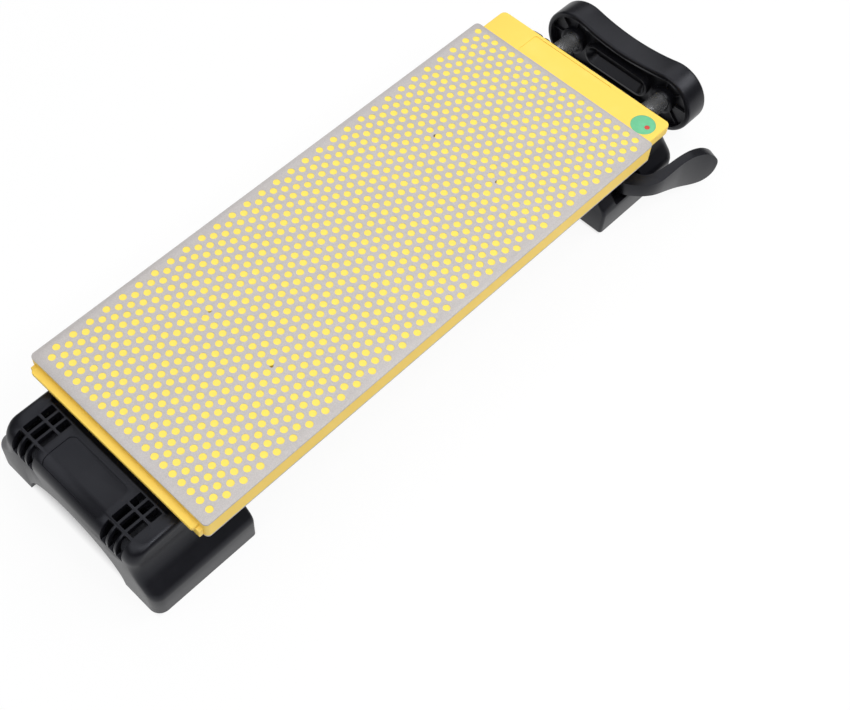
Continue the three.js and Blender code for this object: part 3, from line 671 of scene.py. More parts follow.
def diamond_plate():
    """Matt nickel full of diamond grit: a fine glitter with faint streaks along the stone."""
    paint = Paint("diamond_plate", Specular_IOR_Level=0.5)
    place = paint.place()
    grit = paint.cells(size=0.22)
    glitter = paint.node("ShaderNodeSeparateColor", {}, paint.cells(size=0.3, place=place, out=1))
    cloud = paint.noise(size=26.0, detail=3.0)
    stretched = paint.node("ShaderNodeMapping", {}, place, None, None, (0.12, 1.0, 1.0))
    streaks = paint.noise(size=2.5, detail=3.0, place=stretched)
    tone = (glitter - 0.5) * 0.30 + (cloud - 0.5) * 0.25 + (streaks - 0.5) * 0.22 + 0.5
    paint.set("Base Color", paint.mix(tone.clipped(low=0.0, high=1.0), NICKEL_DARK, NICKEL_PALE))
    paint.set("Metallic", 0.35 + (glitter - 0.5) * 0.3)
    paint.set("Roughness", 0.62 - (glitter - 0.5) * 0.25)
    paint.bump(grit, strength=0.35, distance=0.05)
    return paint.material


def polished_chrome():
    paint = Paint("polished_chrome", Metallic=0.9)
    smear = paint.noise(size=12.0, detail=3.0)
    paint.set("Base Color", paint.mix(smear, CHROME_DARK, CHROME_PALE))
    paint.set("Roughness", 0.14 + smear * 0.1)
    return paint.material


def zinc_steel():
    paint = Paint("zinc_steel", Metallic=1.0)
    smear = paint.noise(size=3.0, detail=4.0)
    paint.set("Base Color", paint.mix(smear, ZINC_DARK, ZINC_PALE))
    paint.set("Roughness", 0.28 + smear * 0.2)
    paint.bump(smear, strength=0.15, distance=0.03)
    return paint.material


def disc_colour(name, colour, worn):
    paint = Paint(name, Specular_IOR_Level=0.35)
    patches = paint.noise(size=2.2, detail=3.0)
    grain = paint.noise(size=0.3, detail=2.0)
    paint.set("Base Color", paint.mix(patches.clipped(low=0.4, high=0.75) * 0.6, colour, worn))
    paint.set("Roughness", 0.45 + grain * 0.15)
    paint.bump(grain, strength=0.2, distance=0.015)
    return paint.material


MOULDING = black_moulding()
GLOSS = black_gloss()
RUBBER = black_rubber()
YELLOW = yellow_plastic()
DOTS = yellow_dots()
PLATE = diamond_plate()
CHROME = polished_chrome()
STEEL = zinc_steel()
GREEN = disc_colour("disc_green", DISC_GREEN, DISC_GREEN_WORN)
RED = disc_colour("disc_red", DISC_RED, DISC_RED_WORN)


def dress(piece, paint, body, slot, *nodes):
    """Gives a finished piece its material and its body, and hides the nodes that it stands for."""
    piece.data.materials.clear()
    piece.data.materials.append(paint)
    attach(piece, body)
    if nodes:
        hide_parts(*nodes)
    return piece


# The stone


def dot_field(name, radius, low, high, dished=False):
    """Every dot of a plate, as upright pegs: one peg, then its row, its neighbour and the rest."""
    field = add_rod(name, "z", radius, low, high, DOT_FIRST_ROW, DOT_FIRST_EVEN, DOT_STEPS)
    if dished:
        dish(field)
    repeats = (
        ((0, DOT_PITCH, 0), DOTS_A_ROW),
        ((DOT_ROW_PITCH, DOT_PITCH / 2, 0), 2),
        ((2 * DOT_ROW_PITCH, 0, 0), DOT_ROWS // 2),
    )
    for offset, count in repeats:
        apply_modifier(
            field,
            "ARRAY",
            use_relative_offset=False,
            use_constant_offset=True,
            constant_offset_displace=[length * MM for length in offset],
            count=count,
        )
    return field


def dish(peg):
    """Sinks the two ends of a peg a little inside a narrow rim."""
    pick(peg)
    bpy.ops.object.mode_set(mode="EDIT")
    for side in (-1, 1):
        bpy.ops.mesh.select_all(action="DESELECT")
        mesh = bmesh.from_edit_mesh(peg.data)
        for face in mesh.faces:
            face.select_set(face.normal.z * side > UPRIGHT)
        bmesh.update_edit_mesh(peg.data)
        bpy.ops.mesh.inset(thickness=DOT_RIM * MM, depth=-DOT_DISH * MM)
    bpy.ops.object.mode_set(mode="OBJECT")


def pin_holes(low, high):
    """The four small locating holes of a face."""
    places = [
        (end * PIN_HOLE_ALONG, hand * PIN_HOLE_ACROSS) for end in (-1, 1) for hand in (-1, 1)
    ]
    return [
        add_rod("pin_hole", "z", PIN_HOLE_RADIUS, low, high, x, y, PEG_STEPS) for x, y in places
    ]


def stone_outline():
    return rounded(
        (-PLATE_HALF_LENGTH, PLATE_HALF_LENGTH),
        (-PLATE_HALF_WIDTH, PLATE_HALF_WIDTH),
        [PLATE_CORNER] * 4,
    )


def face_plate(name, bottom, node):
    plate = add_prism(name, "z", stone_outline(), bottom, bottom + PLATE_THICKNESS)
    ease(plate, PLATE_EASE)
    low, high = bottom - OVER, bottom + PLATE_THICKNESS + OVER
    cut(plate, dot_field("dot_holes", DOT_RADIUS, low, high), *pin_holes(low, high))
    smooth(plate)
    return dress(plate, PLATE, "stone", "plated_steel", node)


def stone_dots(name, low, high):
    dots = dot_field(name, DOT_RADIUS - DOT_GAP, low, high, dished=True)
    smooth(dots)
    return dress(dots, DOTS, "stone", "yellow_plastic")


def stone_core():
    """The core between the plates, with its end lip, its end tab and what is let into them."""
    low, high = STONE_BOTTOM + PLATE_THICKNESS + BOND, STONE_TOP - PLATE_THICKNESS - BOND
    core = add_prism("stone_core_moulding", "z", stone_outline(), low, high)
    lip = add_prism(
        "core_lip",
        "z",
        rounded(
            (-PLATE_HALF_LENGTH - LIP_REACH, -PLATE_HALF_LENGTH + 2 * OVER),
            (-LIP_HALF_WIDTH, LIP_HALF_WIDTH),
            [LIP_CORNER, ROOT_CORNER, ROOT_CORNER, LIP_CORNER],
        ),
        STONE_TOP - LIP_BOTTOM_DROP,
        STONE_TOP - LIP_TOP_DROP,
    )
    ease(lip, LIP_EASE, steps=3)
    tab_top, tab_bottom = STONE_TOP - TAB_TOP_DROP, STONE_TOP - TAB_BOTTOM_DROP
    tab = add_prism(
        "core_tab",
        "z",
        rounded(
            (PLATE_HALF_LENGTH - 2 * OVER, PLATE_HALF_LENGTH + TAB_REACH),
            (-TAB_HALF_WIDTH, TAB_HALF_WIDTH),
            [ROOT_CORNER, TAB_CORNER, TAB_CORNER, ROOT_CORNER],
        ),
        tab_bottom,
        tab_top,
    )
    ease(tab, TAB_EASE, steps=3)
    for hand in (-1, 1):
        outer = hand * (PLATE_HALF_WIDTH - PLATE_CORNER)
        foot = add_box(
            "corner_lip",
            (-PLATE_HALF_LENGTH - CORNER_LIP_REACH, -PLATE_HALF_LENGTH + OVER),
            ordered(outer, outer - hand * CORNER_LIP_WIDTH),
            (low, STONE_TOP - LIP_BOTTOM_DROP + OVER),
        )
        join(core, ease(foot, LIP_EASE))
    heel = add_box(
        "core_heel",
        (PLATE_HALF_LENGTH - OVER, PLATE_HALF_LENGTH + SLIDER_SHIFT),
        (-CHEEK_HALF_WIDTH, CHEEK_HALF_WIDTH),
        (low, tab_bottom + OVER),
    )
    join(core, lip, tab, heel)
    for face, y in ((tab_top, LABEL_Y), (tab_bottom, (-LABEL_Y[1], -LABEL_Y[0]))):
        outline = rounded(LABEL_X, y, [LABEL_CORNER] * 4)
        cut(core, add_prism("label", "z", outline, face - LABEL_DEPTH, face + LABEL_DEPTH))
    for hand in (-1, 1):
        face = tab_top if hand < 0 else tab_bottom
        depth = ordered(face - hand * OVER, face + hand * (DISC_THICKNESS + DISC_GAP))
        radius = DISC_RADIUS + DISC_GAP
        cut(core, add_rod("disc_pocket", "z", radius, *depth, DISC_X, hand * DISC_Y))
    cut(
        core,
        *pin_holes(STONE_BOTTOM - OVER, STONE_BOTTOM + PIN_HOLE_LOWER_END),
        *pin_holes(high - PIN_HOLE_DEPTH, STONE_TOP + OVER),
    )
    smooth(core)
    return dress(core, YELLOW, "stone", "yellow_plastic", "stone_core")


def grade_disc(name, hand, paint, slot, dot_paint, dot_slot):
    """A coloured disc let into the tab, with its small dot."""
    face = STONE_TOP - (TAB_TOP_DROP if hand < 0 else TAB_BOTTOM_DROP)
    inside = face + hand * DISC_THICKNESS
    depth = ordered(face, inside)
    disc = add_rod(
        "grade_disc_" + name + "_inlay", "z", DISC_RADIUS, *depth, DISC_X, hand * DISC_Y
    )
    ease(disc, DISC_EASE)
    dot_y = hand * (DISC_Y + DISC_DOT_OFFSET)
    depth = ordered(face - hand * OVER, face + hand * DISC_THICKNESS * DISC_DOT_POCKET_SHARE)
    radius = DISC_DOT_RADIUS + DISC_GAP
    cut(disc, add_rod("dot_pocket", "z", radius, *depth, DISC_X, dot_y, SMALL_STEPS))
    smooth(disc)
    dress(disc, paint, "stone", slot, "grade_disc_" + name)
    dot = add_rod(
        "grade_dot_" + name + "_inlay",
        "z",
        DISC_DOT_RADIUS,
        *ordered(face, face + hand * DISC_THICKNESS * DISC_DOT_SHARE),
        DISC_X,
        dot_y,
        SMALL_STEPS,
    )
    ease(dot, DISC_DOT_EASE)
    smooth(dot)
    dress(dot, dot_paint, "stone", dot_slot, "grade_dot_" + name)


face_plate("face_plate_upper_dotted", STONE_TOP - PLATE_THICKNESS, "face_plate_upper")
face_plate("face_plate_lower_dotted", STONE_BOTTOM, "face_plate_lower")
stone_dots("dots_upper", STONE_TOP - PLATE_THICKNESS - DOT_ROOT, STONE_TOP - DOT_SINK)
stone_dots("dots_lower", STONE_BOTTOM + DOT_SINK, STONE_BOTTOM + PLATE_THICKNESS + DOT_ROOT)
stone_core()
grade_disc("upper", -1, GREEN, "green_plastic", RED, "red_plastic")
grade_disc("lower", 1, RED, "red_plastic", GREEN, "green_plastic")


# The end blocks


def side_profile():
    """Half-width against height up a block's side: rim, rounded top, slope, hollow, shoulder."""
    share = 1 - math.cos(math.pi / 4)
    rise = math.sin(math.pi / 4)
    foot = (RIM_HALF_WIDTH - RIM_RADIUS * share, RIM_TOP + RIM_RADIUS * rise)
    head_width = CHEEK_HALF_WIDTH + HOLLOW_RADIUS * share
    head = (head_width, foot[1] + foot[0] - head_width)
    hollow_top = head[1] + HOLLOW_RADIUS * rise
    rim = arc((RIM_HALF_WIDTH - RIM_RADIUS, RIM_TOP), RIM_RADIUS, 0, 45, steps=8)
    hollow = arc((CHEEK_HALF_WIDTH + HOLLOW_RADIUS, hollow_top), HOLLOW_RADIUS, 225, 180, steps=10)
    corner = (CHEEK_HALF_WIDTH - SHOULDER_RADIUS, BLOCK_TOP - SHOULDER_RADIUS)
    shoulder = arc(corner, SHOULDER_RADIUS, 0, 90, steps=7)
    return [(RIM_HALF_WIDTH, BLOCK_BOTTOM), *rim, *hollow, *shoulder]


PROFILE = side_profile()


def block_x(side, x):
    """A place along the stone on a block: the sliding one stands a little further out."""
    return x + SLIDER_SHIFT if side > 0 else -x


def block_span(side, a, b):
    """Two places along the stone on a block, the lower one first."""
    return ordered(block_x(side, a), block_x(side, b))


def half_width_at(height):
    """The half-width of the side profile at a height."""
    for (w0, z0), (w1, z1) in zip(PROFILE, PROFILE[1:]):
        if height <= z1:
            return w0 + (w1 - w0) * min(1, max(0, (height - z0) / (z1 - z0)))
    return PROFILE[-1][0]


def end_radius(side):
    return SLIDER_END_RADIUS if side > 0 else FIXED_END_RADIUS


def outer_end_at(side, height):
    """How far out a block's rounded end reaches at a height."""
    radius = end_radius(side)
    rise = max(0, height - (BLOCK_TOP - radius))
    return BLOCK_END - radius + math.sqrt(max(0, radius**2 - rise**2))


def block_rings(side, inset):
    """A block's outlines from its bottom to its top, drawn in by an inset for the hollow."""
    radius = end_radius(side)
    rounds = arc((0, BLOCK_TOP - radius), radius, 0, 90, steps=14)
    heights = sorted([z for _, z in PROFILE] + [z for _, z in rounds])
    kept = [z for i, z in enumerate(heights) if i == 0 or z - heights[i - 1] > RING_STEP]
    outer, hidden = OUTER_CORNER, INNER_CORNER
    radii = [outer, hidden, hidden, outer] if side < 0 else [hidden, outer, outer, hidden]
    rings = []
    for height in kept:
        width = half_width_at(height) - inset
        x = block_span(side, BLOCK_INNER + inset, outer_end_at(side, height) - inset)
        rings.append([(a, b, height) for a, b in rounded(x, (-width, width), radii)])
    if inset:
        roof = kept[-1] - inset
        walls = [ring for ring in rings if ring[0][2] < roof]
        walls[0] = [(a, b, -OVER) for a, b, _ in walls[0]]
        rings = [*walls, [(a, b, roof) for a, b, _ in rings[-1]]]
    return rings


SEAT_STEP = PLATE_HALF_LENGTH + SEAT_GAP
GROOVE_END = SEAT_STEP + GROOVE_REACH


def stiffen(block, whole, side):
    """Adds the rod tubes, the foot beams and the ribs beside the grilles, within the whole; the
    ribs are dark sheets that stand in for shade seen through the slots.
    """
    inside = block_span(side, BLOCK_INNER + WALL / 2, BLOCK_END - WALL / 2)
    for hand in (-1, 1):
        join(block, add_rod("tube", "x", TUBE_RADIUS, *inside, hand * ROD_Y, ROD_Z))
        beam = add_box(
            "foot_beam",
            inside,
            ordered(hand * CHEEK_HALF_WIDTH, hand * (RIM_HALF_WIDTH - WALL / 2)),
            (BLOCK_BOTTOM, BEAM_TOP),
        )
        join(block, common(beam, copy_of(whole, "whole_again")))
        # A dark sheet beside each grille that hides the floor below the slots, standing in for
        # shade
        rib = add_box(
            "shade_rib_beside_grille",
            block_span(side, GROOVE_END, BLOCK_END - WALL / 2),
            ordered(hand * (GRILLE_Y[0] - GRILLE_RIB), hand * (GRILLE_Y[0] - GRILLE_RIB_GAP)),
            (BLOCK_BOTTOM, BLOCK_TOP - WALL / 2),
        )
        join(block, common(rib, copy_of(whole, "whole_again")))


def end_block(name, side, bore_end):
    """A hollow moulding with rod tubes, foot beams, a bench arch, a stone seat and two grilles."""
    skin = add_loft(name, block_rings(side, 0))
    hollow = add_loft("hollow", block_rings(side, WALL))
    roof = add_box(
        "roof",
        block_span(side, BLOCK_INNER, GROOVE_END + WALL),
        (-RIM_HALF_WIDTH, RIM_HALF_WIDTH),
        (SEAT_FLOOR - WALL, BLOCK_TOP),
    )
    whole = copy_of(skin, "whole")
    block = cut(skin, cut(hollow, roof))
    stiffen(block, whole, side)
    bpy.data.objects.remove(whole)
    arch = [(ARCH_HALF_WIDTH * c, ARCH_HEIGHT * s) for c, s in arc((0, 0), 1, 0, 180, steps=40)]
    arch += [(-ARCH_HALF_WIDTH, -OVER), (ARCH_HALF_WIDTH, -OVER)]
    through = block_span(side, BLOCK_INNER - OVER, BLOCK_END + OVER)
    cut(block, add_prism("arch", "x", arch, *through))
    for end, width in ((SEAT_STEP, RIM_HALF_WIDTH), (GROOVE_END, GROOVE_HALF_WIDTH)):
        along = block_span(side, BLOCK_INNER - 3 * OVER, end)
        outline = rounded(along, (-width, width), [SEAT_CORNER] * 4)
        cut(block, add_prism("seat", "z", outline, SEAT_FLOOR, BLOCK_TOP + OVER))
    for hand in (-1, 1):
        bore = block_span(side, BLOCK_INNER - OVER, bore_end)
        cut(block, add_rod("bore", "x", ROD_RADIUS + ROD_GAP, *bore, hand * ROD_Y, ROD_Z))
        slot_x = block_span(side, BLOCK_INNER + FOOT_END_INSET, BLOCK_END - FOOT_END_INSET)
        slot_y = (hand * FOOT_Y - FOOT_SLOT_HALF_WIDTH, hand * FOOT_Y + FOOT_SLOT_HALF_WIDTH)
        cut(block, add_box("foot_slot", slot_x, slot_y, (0, FOOT_SLOT_TOP)))
        for slot in grille_slots(side, hand):
            cut(block, slot)
    return cut(block, panel(side))


def grille_slots(side, hand):
    """Three columns of three slots; the last of each column runs down the end face."""
    pitch = (GRILLE_Y[1] - GRILLE_Y[0] + GRILLE_RIB) / GRILLE_COLUMNS
    first_end = GRILLE_START + GRILLE_ROWS[0]
    second_end = first_end + GRILLE_BAR + GRILLE_ROWS[1]
    rows = (
        (GRILLE_START, first_end, SEAT_FLOOR - WALL),
        (first_end + GRILLE_BAR, second_end, SEAT_FLOOR - WALL),
        (second_end + GRILLE_BAR, BLOCK_END + OVER, GRILLE_FOOT),
    )
    slots = []
    for column in range(GRILLE_COLUMNS):
        start = GRILLE_Y[0] + column * pitch
        across = ordered(hand * start, hand * (start + pitch - GRILLE_RIB))
        for low, high, floor in rows:
            outline = rounded(block_span(side, low, high), across, [GRILLE_CORNER] * 4, steps=3)
            slots.append(add_prism("slot", "z", outline, floor, BLOCK_TOP + OVER))
    return slots


def panel(side):
    """The shallow bare panel, which follows the rounded end."""
    radius = end_radius(side)
    centre = (BLOCK_END - radius, BLOCK_TOP - radius)
    outer = arc(centre, radius + OVER, 90, 45, steps=16)
    inner = arc(centre, radius - PANEL_DEPTH, 45, 90, steps=16)
    band = [(PANEL_START, BLOCK_TOP + OVER), *outer, *inner, (PANEL_START, BLOCK_TOP - PANEL_DEPTH)]
    points = [(block_x(side, x), z) for x, z in band]
    half = PANEL_HALF_WIDTH
    sweep = add_prism("panel_band", "y", points, -half - OVER, half + OVER)
    far = centre[0] + (radius + OVER) * math.sin(math.pi / 4)
    outline = rounded(block_span(side, PANEL_START, far), (-half, half), [PANEL_CORNER] * 4)
    return common(sweep, add_prism("panel_plan", "z", outline, 0, BLOCK_TOP + 3 * OVER))


def finish_block(block):
    tidy_mesh(block)
    ease(block, MOULDING_EASE, angle=CORNER_ANGLE)
    return smooth(block, MOULDING_SMOOTH_ANGLE)


def fixed_block():
    block = end_block("fixed_block_moulding", -1, BLOCK_END - BORE_END_COVER)
    finish_block(block)
    return dress(block, MOULDING, "base", "black_plastic", "fixed_block")


def slider_block():
    """The same moulding with open bores, and a housing for the lever's cam, shoe and pin."""
    block = end_block("slider_block_moulding", 1, BLOCK_END + OVER)
    mouth_inner = -PIVOT_Y - CAM_RADIUS - MOUTH_GAP
    across = (-HOUSING_Y, -mouth_inner + WALL)
    housing = add_box("housing", HOUSING_X, across, (HOUSING_BOTTOM, SEAT_FLOOR))
    join(block, ease(housing, HOUSING_EASE, steps=3))
    bore = block_span(1, BLOCK_INNER - OVER, BLOCK_END + OVER)
    cut(block, add_rod("bore", "x", ROD_RADIUS + ROD_GAP, *bore, -ROD_Y, ROD_Z))
    mouth = rounded(MOUTH_X, MOUTH_Z, [MOUTH_CORNER] * 4)
    cut(block, add_prism("mouth", "y", mouth, -RIM_HALF_WIDTH - OVER, -mouth_inner))
    window = add_box(
        "window",
        (PIVOT_X - WINDOW_HALF_LENGTH, PIVOT_X + WINDOW_HALF_LENGTH),
        (-mouth_inner - OVER, -ROD_Y),
        (ROD_Z - WINDOW_HALF_HEIGHT, ROD_Z + WINDOW_HALF_HEIGHT),
    )
    depth = (HOUSING_BOTTOM - OVER, MOUTH_Z[1] + PIN_HOLE_COVER)
    pin = add_rod("pin_hole", "z", PIN_RADIUS, *depth, PIVOT_X, PIVOT_Y, SMALL_STEPS)
    cut(block, window, pin)
    finish_block(block)
    return dress(block, MOULDING, "slider", "black_plastic", "slider_block")


fixed_block()
slider_block()


# Rods and handle


def rod(name, hand):
    low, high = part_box(name)
    start = (low.x - MIDDLE.x) / MM
    end = (high.x - MIDDLE.x) / MM
    piece = add_rod(
        name + "_polished", "x", ROD_RADIUS, start, end, hand * ROD_Y, ROD_Z, FINE_STEPS
    )
    ease(piece, ROD_EASE, steps=3)
    smooth(piece)
    return dress(piece, CHROME, "base", "rod_chrome", name)


def dog_bone(inset):
    """The handle's outline drawn in by an inset: a lobe round each rod and two hollow waists."""
    waist = (ROD_Y**2 + WAIST**2 - LOBE_RADIUS**2) / (2 * (LOBE_RADIUS - WAIST))
    centre = WAIST + waist
    turn = math.degrees(math.atan2(ROD_Y, centre))
    lobe, hollow = LOBE_RADIUS - inset, waist + inset
    points = [
        *arc((ROD_Y, 0), lobe, -90 - turn, 90 + turn, steps=40)[:-1],
        *arc((0, centre), hollow, -90 + turn, -90 - turn, steps=24)[:-1],
        *arc((-ROD_Y, 0), lobe, 90 - turn, 270 + turn, steps=40)[:-1],
        *arc((0, -centre), hollow, 90 + turn, 90 - turn, steps=24)[:-1],
    ]
    return [(y - HANDLE_SIDE_SHIFT, z + ROD_Z) for y, z in points]


def stadium(half_length, half_height):
    """The long round-ended outline of the finger recess, between the rods."""
    reach_out = half_length - half_height
    near = arc((reach_out, ROD_Z), half_height, -90, 90, steps=20)
    far = arc((-reach_out, ROD_Z), half_height, 90, 270, steps=20)
    return near + far


def handle_blank():
    """The solid dog bone, with its edges rounded towards the stone and away from it."""
    front = [
        (HANDLE_FRONT + FRONT_EASE * (1 - a), FRONT_EASE * (1 - b))
        for a, b in arc((0, 0), 1, 0, 90, steps=5)
    ]
    back = [
        (HANDLE_BACK - BACK_EASE * (1 - a), BACK_EASE * (1 - b))
        for a, b in arc((0, 0), 1, 90, 0, steps=7)
    ]
    rings = [[(x, y, z) for y, z in dog_bone(inset)] for x, inset in front + back]
    return add_loft("handle_moulding", rings)


def finger_recess():
    """The tool that sinks the recess: it narrows inwards and has a rounded floor."""
    steps = ((-OVER, 0), (0, 0), (GRIP_DEPTH, GRIP_TAPER))
    rings = [
        [
            (HANDLE_FRONT + depth, y, z)
            for y, z in stadium(GRIP_HALF_LENGTH - inset, GRIP_HALF_HEIGHT - inset)
        ]
        for depth, inset in steps
    ]
    return ease_end(add_loft("recess", rings), HANDLE_FRONT + GRIP_DEPTH, DISH_EASE)


def handle():
    """A dog-bone dish, hollow towards the stone, with rod bosses, ribs and a finger recess."""
    piece = handle_blank()
    web = HANDLE_BACK - HANDLE_WEB
    floor = HANDLE_FRONT + DISH_DEPTH
    dish_cut = add_prism("dish", "x", dog_bone(HANDLE_WALL), HANDLE_FRONT - OVER, floor)
    cut(piece, ease_end(dish_cut, floor, DISH_EASE))
    for hand in (-1, 1):
        start = HANDLE_FRONT + BOSS_SETBACK
        join(piece, add_rod("boss", "x", BOSS_RADIUS, start, web, hand * ROD_Y, ROD_Z))
        for angle in FIN_ANGLES:
            join(piece, fin(hand, angle, floor))
    collar = stadium(GRIP_HALF_LENGTH + GRIP_WALL, GRIP_HALF_HEIGHT + GRIP_WALL)
    join(piece, add_prism("collar", "x", collar, HANDLE_FRONT + GRIP_SETBACK, floor + OVER))
    cut(piece, finger_recess())
    head_start = HANDLE_BACK - SCREW_HEAD_DEPTH
    for hand in (-1, 1):
        for name, radius, start, end, steps in (
            ("bore", ROD_RADIUS + ROD_GAP, HANDLE_FRONT - OVER, web, ROUND_STEPS),
            ("shank_hole", SHANK_HOLE_RADIUS, web - OVER, HANDLE_BACK + OVER, SMALL_STEPS),
            ("head_hole", SCREW_HEAD + SCREW_HEAD_GAP, head_start, HANDLE_BACK + OVER, ROUND_STEPS),
        ):
            cut(piece, add_rod(name, "x", radius, start, end, hand * ROD_Y, ROD_Z, steps))
    tidy_mesh(piece)
    ease(piece, HANDLE_EASE, angle=CORNER_ANGLE)
    smooth(piece, MOULDING_SMOOTH_ANGLE)
    return dress(piece, GLOSS, "base", "black_plastic", "handle")


def ease_end(piece, end, radius):
    """Rounds the edge round a prism's end face at the given place along the rods."""
    pick(piece)
    bpy.ops.object.mode_set(mode="EDIT")
    bpy.ops.mesh.select_all(action="DESELECT")
    mesh = bmesh.from_edit_mesh(piece.data)
    face = at(end, 0, 0).x
    for edge in mesh.edges:
        edge.select_set(all(abs(vertex.co.x - face) < MM / 100 for vertex in edge.verts))
    bmesh.update_edit_mesh(piece.data)
    bpy.ops.mesh.bevel(offset=radius * MM, segments=4, affect="EDGES")
    bpy.ops.object.mode_set(mode="OBJECT")
    return piece


def fin(hand, angle, floor):
    """A thin stiffening rib from a boss out to the lobe's wall."""
    piece = add_box(
        "fin",
        (HANDLE_FRONT + FIN_SETBACK, floor + OVER),
        (ROD_Y, ROD_Y + LOBE_RADIUS - HANDLE_WALL / 2),
        (ROD_Z - RIB_THICKNESS / 2, ROD_Z + RIB_THICKNESS / 2),
    )
    pivot = at(0, ROD_Y, ROD_Z)
    turn = math.radians(angle if hand > 0 else 180 - angle)
    for vertex in piece.data.vertices:
        offset = vertex.co - pivot
        y = offset.y * math.cos(turn) - offset.z * math.sin(turn)
        z = offset.y * math.sin(turn) + offset.z * math.cos(turn)
        vertex.co = at(0, hand * ROD_Y, ROD_Z) + Vector((offset.x, y, z))
    return piece


rod("rod_near", -1)
rod("rod_far", 1)
handle()


# The clamp lever


LEVER_PLAN_SHARES = [
    (-0.105, 0.081), (-0.101, 0.296), (-0.081, 0.4), (-0.031, 0.511), (0.036, 0.63),
    (0.117, 0.707), (0.204, 0.741), (0.314, 0.748), (0.426, 0.752), (0.52, 0.759), (0.603, 0.778),
    (0.695, 0.811), (0.785, 0.859), (0.874, 0.922), (0.964, 0.996), (1.043, 1.078),
    (1.099, 0.948), (1.009, 0.852), (0.913, 0.774), (0.816, 0.707), (0.717, 0.659),
    (0.617, 0.626), (0.522, 0.604), (0.415, 0.589), (0.294, 0.563), (0.206, 0.533),
    (0.139, 0.474), (0.094, 0.378), (0.076, 0.259), (0.076, 0.081),
]
LEVER_SIDE_SHARES = [
    (0.536, 0), (0.604, 0.005), (0.666, 0.024), (0.727, 0.052), (0.783, 0.09), (0.832, 0.142),
    (0.877, 0.208), (0.917, 0.292), (0.949, 0.396), (0.962, 0.519), (0.958, 0.637),
    (0.944, 0.755), (0.917, 0.858), (0.882, 0.929), (0.841, 0.976), (0.79, 1), (0.736, 0.995),
    (0.664, 0.962), (0.59, 0.901), (0.487, 0.802), (0.37, 0.665), (0.249, 0.528), (0.137, 0.415),
    (-0.013, 0.344), (-0.114, 0.344),
]


def cam_outline():
    """The hub seen from above: its radius falls away on the side that frees the shoe."""
    points = []
    for step in range(FINE_STEPS):
        turn = 360 * step / FINE_STEPS
        drop = CAM_LIFT * min(1, max(0, turn - CAM_LIFT_START) / CAM_LIFT_TURN)
        if turn > CAM_BLEND_START:
            drop = CAM_LIFT * max(0, 1 - (turn - CAM_BLEND_START) / CAM_BLEND_TURN)
        radius = CAM_RADIUS - CAM_GAP - drop
        angle = math.radians(turn)
        points.append((PIVOT_X + radius * math.cos(angle), PIVOT_Y + radius * math.sin(angle)))
    return points


def cam_lever():
    """A swept arm: its plan and its side view cut from each other, with a cam for its hub."""
    plan = [
        (PIVOT_X + LEVER_LENGTH * along, PIVOT_Y - LEVER_SPREAD * across)
        for along, across in flowing(LEVER_PLAN_SHARES)
    ]
    side = [
        (LEVER_INNER_SHARE, 0),
        *flowing(LEVER_SIDE_SHARES),
        (LEVER_INNER_SHARE, LEVER_SIDE_SHARES[-1][1]),
    ]
    outermost = -PIVOT_Y + LEVER_SPREAD
    rings = [
        [
            (
                PIVOT_X + LEVER_LENGTH * along + LEVER_LEAN * (outermost - across),
                -across,
                LEVER_TOP - LEVER_DEPTH * down,
            )
            for along, down in side
        ]
        for across in (outermost + 2 * OVER, 0)
    ]
    lever = add_prism("cam_lever_moulding", "z", plan, 0, LEVER_TOP + OVER)
    common(lever, add_loft("side_view", rings))
    tidy_mesh(lever, LEVER_HAIR_GAP)
    ease(lever, LEVER_EASE, steps=3)
    join(lever, ease(add_prism("hub", "z", cam_outline(), *CAM_Z), HUB_EASE))
    cut(lever, add_rod("pin_hole", "z", PIN_RADIUS, 0, BLOCK_TOP, PIVOT_X, PIVOT_Y, SMALL_STEPS))
    smooth(lever, LEVER_SMOOTH_ANGLE)
    return dress(lever, GLOSS, "lever", "black_plastic", "cam_lever")


cam_lever()


# Small pieces


def repaint(paint, *nodes):
    """Gives retained frame nodes a better material."""
    for name in nodes:
        mesh = frame["nodes"][name].data
        mesh.materials.clear()
        mesh.materials.append(paint)


repaint(RUBBER, "fixed_seat_pad", "slider_seat_pad", "brake_shoe")
repaint(RUBBER, "fixed_foot_near", "fixed_foot_far", "slider_foot_near", "slider_foot_far")
repaint(STEEL, "lock_screw_near", "lock_screw_far", "handle_screw_near", "handle_screw_far")
repaint(STEEL, "pivot_pin", "washer_lower", "washer_upper")


# Bench, light and camera


def maths(tree, operation, *values):
    """A math node fed with sockets or plain numbers."""
    node = tree.nodes.new("ShaderNodeMath")
    node.operation = operation
    for socket, value in zip(node.inputs, values):
        if isinstance(value, bpy.types.NodeSocket):
            tree.links.new(value, socket)
        else:
            socket.default_value = value
    return node.outputs[0]


def glow_with_painted_shade(tree):
    """The floor's glow, which fades to nothing under the two blocks: painted shade where no light
    gets in.
    """
    coordinates = tree.nodes.new("ShaderNodeTexCoord")
    split = tree.nodes.new("ShaderNodeSeparateXYZ")
    tree.links.new(coordinates.outputs["Object"], split.inputs[0])
    centre = MIDDLE.x + SLIDER_SHIFT / 2 * MM
    outer = BLOCK_END + SLIDER_SHIFT / 2
    fades = []
    for axis, middle, dark, bright in (
        (0, centre, outer - PAINTED_SHADE_FADE, outer),
        (0, centre, BLOCK_INNER + PAINTED_SHADE_FADE, BLOCK_INNER),
        (1, MIDDLE.y, RIM_HALF_WIDTH - PAINTED_SHADE_FADE, RIM_HALF_WIDTH),
    ):
        fade = tree.nodes.new("ShaderNodeMapRange")
        fade.inputs["From Min"].default_value = dark * MM
        fade.inputs["From Max"].default_value = bright * MM
        offset = maths(tree, "SUBTRACT", split.outputs[axis], middle)
        tree.links.new(maths(tree, "ABSOLUTE", offset), fade.inputs["Value"])
        fades.append(fade.outputs[0])
    ends = maths(tree, "MAXIMUM", fades[0], fades[1])
    return maths(tree, "MULTIPLY", maths(tree, "MAXIMUM", ends, fades[2]), FLOOR_GLOW)


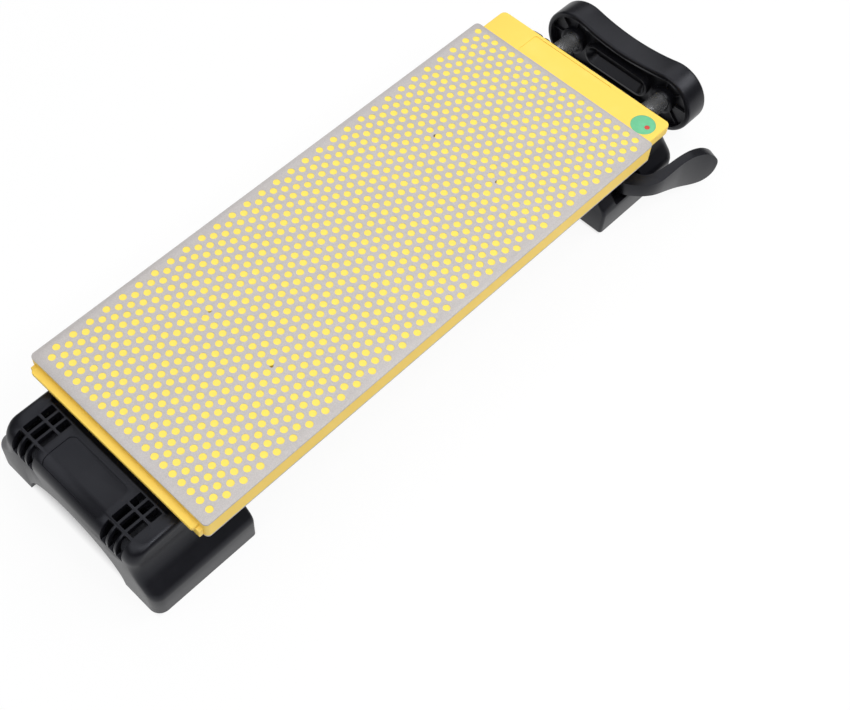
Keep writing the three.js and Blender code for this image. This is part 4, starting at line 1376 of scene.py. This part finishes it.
def bench():
    """A pale floor that looks white to the camera and keeps the object's shadow, with painted shade
    under the blocks.
    """
    deselect()
    bpy.ops.mesh.primitive_plane_add(size=FLOOR_SIZE, location=(0, 0, 0))
    floor = settle("bench_top")
    material = bpy.data.materials.new("white_bench")
    material.use_nodes = True
    tree = material.node_tree
    tree.nodes.remove(tree.nodes["Principled BSDF"])
    diffuse = tree.nodes.new("ShaderNodeBsdfDiffuse")
    diffuse.inputs["Color"].default_value = FLOOR_COLOUR
    glow = tree.nodes.new("ShaderNodeEmission")
    glow.inputs["Strength"].default_value = 1.0
    seen = tree.nodes.new("ShaderNodeLightPath").outputs
    either = maths(tree, "MAXIMUM", seen["Is Camera Ray"], seen["Is Glossy Ray"])
    mix = tree.nodes.new("ShaderNodeMixShader")
    # The glow for camera and glossy rays, faded out as painted shade under the blocks
    tree.links.new(maths(tree, "MULTIPLY", either, glow_with_painted_shade(tree)), mix.inputs[0])
    tree.links.new(diffuse.outputs[0], mix.inputs[1])
    tree.links.new(glow.outputs[0], mix.inputs[2])
    tree.links.new(mix.outputs[0], tree.nodes["Material Output"].inputs["Surface"])
    floor.data.materials.append(material)


def softbox(name, place, aim, size, power):
    data = bpy.data.lights.new(name, "AREA")
    data.shape = "RECTANGLE"
    data.size, data.size_y = size
    data.energy = power
    lamp = bpy.data.objects.new(name, data)
    lamp.location = place
    lamp.rotation_euler = (Vector(aim) - Vector(place)).to_track_quat("-Z", "Y").to_euler()
    bpy.context.scene.collection.objects.link(lamp)


def world():
    """White behind the object, and a faint even light on it."""
    sky = bpy.data.worlds.new("studio")
    sky.use_nodes = True
    tree = sky.node_tree
    background = tree.nodes["Background"]
    background.inputs["Color"].default_value = (1, 1, 1, 1)
    seen = tree.nodes.new("ShaderNodeLightPath")
    strength = tree.nodes.new("ShaderNodeMapRange")
    strength.inputs["To Min"].default_value = WORLD_GLOW
    strength.inputs["To Max"].default_value = 1.0
    tree.links.new(seen.outputs["Is Camera Ray"], strength.inputs["Value"])
    tree.links.new(strength.outputs["Result"], background.inputs["Strength"])
    bpy.context.scene.world = sky


def camera():
    """The photograph's viewpoint, fitted to the dots of the upper plate."""
    data = bpy.data.cameras.new("camera")
    data.sensor_width = CAMERA_SENSOR
    data.lens = CAMERA_LENS
    data.shift_x = CAMERA_SHIFT
    eye = bpy.data.objects.new("camera", data)
    eye.location = at(*CAMERA_PLACE)
    turn = Vector(CAMERA_AIM).to_track_quat("-Z", "Y")
    turn @= Quaternion((0, 0, 1), math.radians(CAMERA_ROLL))
    eye.rotation_euler = turn.to_euler()
    bpy.context.scene.collection.objects.link(eye)
    bpy.context.scene.camera = eye


bench()
for lamp in SOFTBOXES:
    softbox(*lamp)
world()
camera()
bpy.context.scene.view_settings.view_transform = "Standard"
deselect()
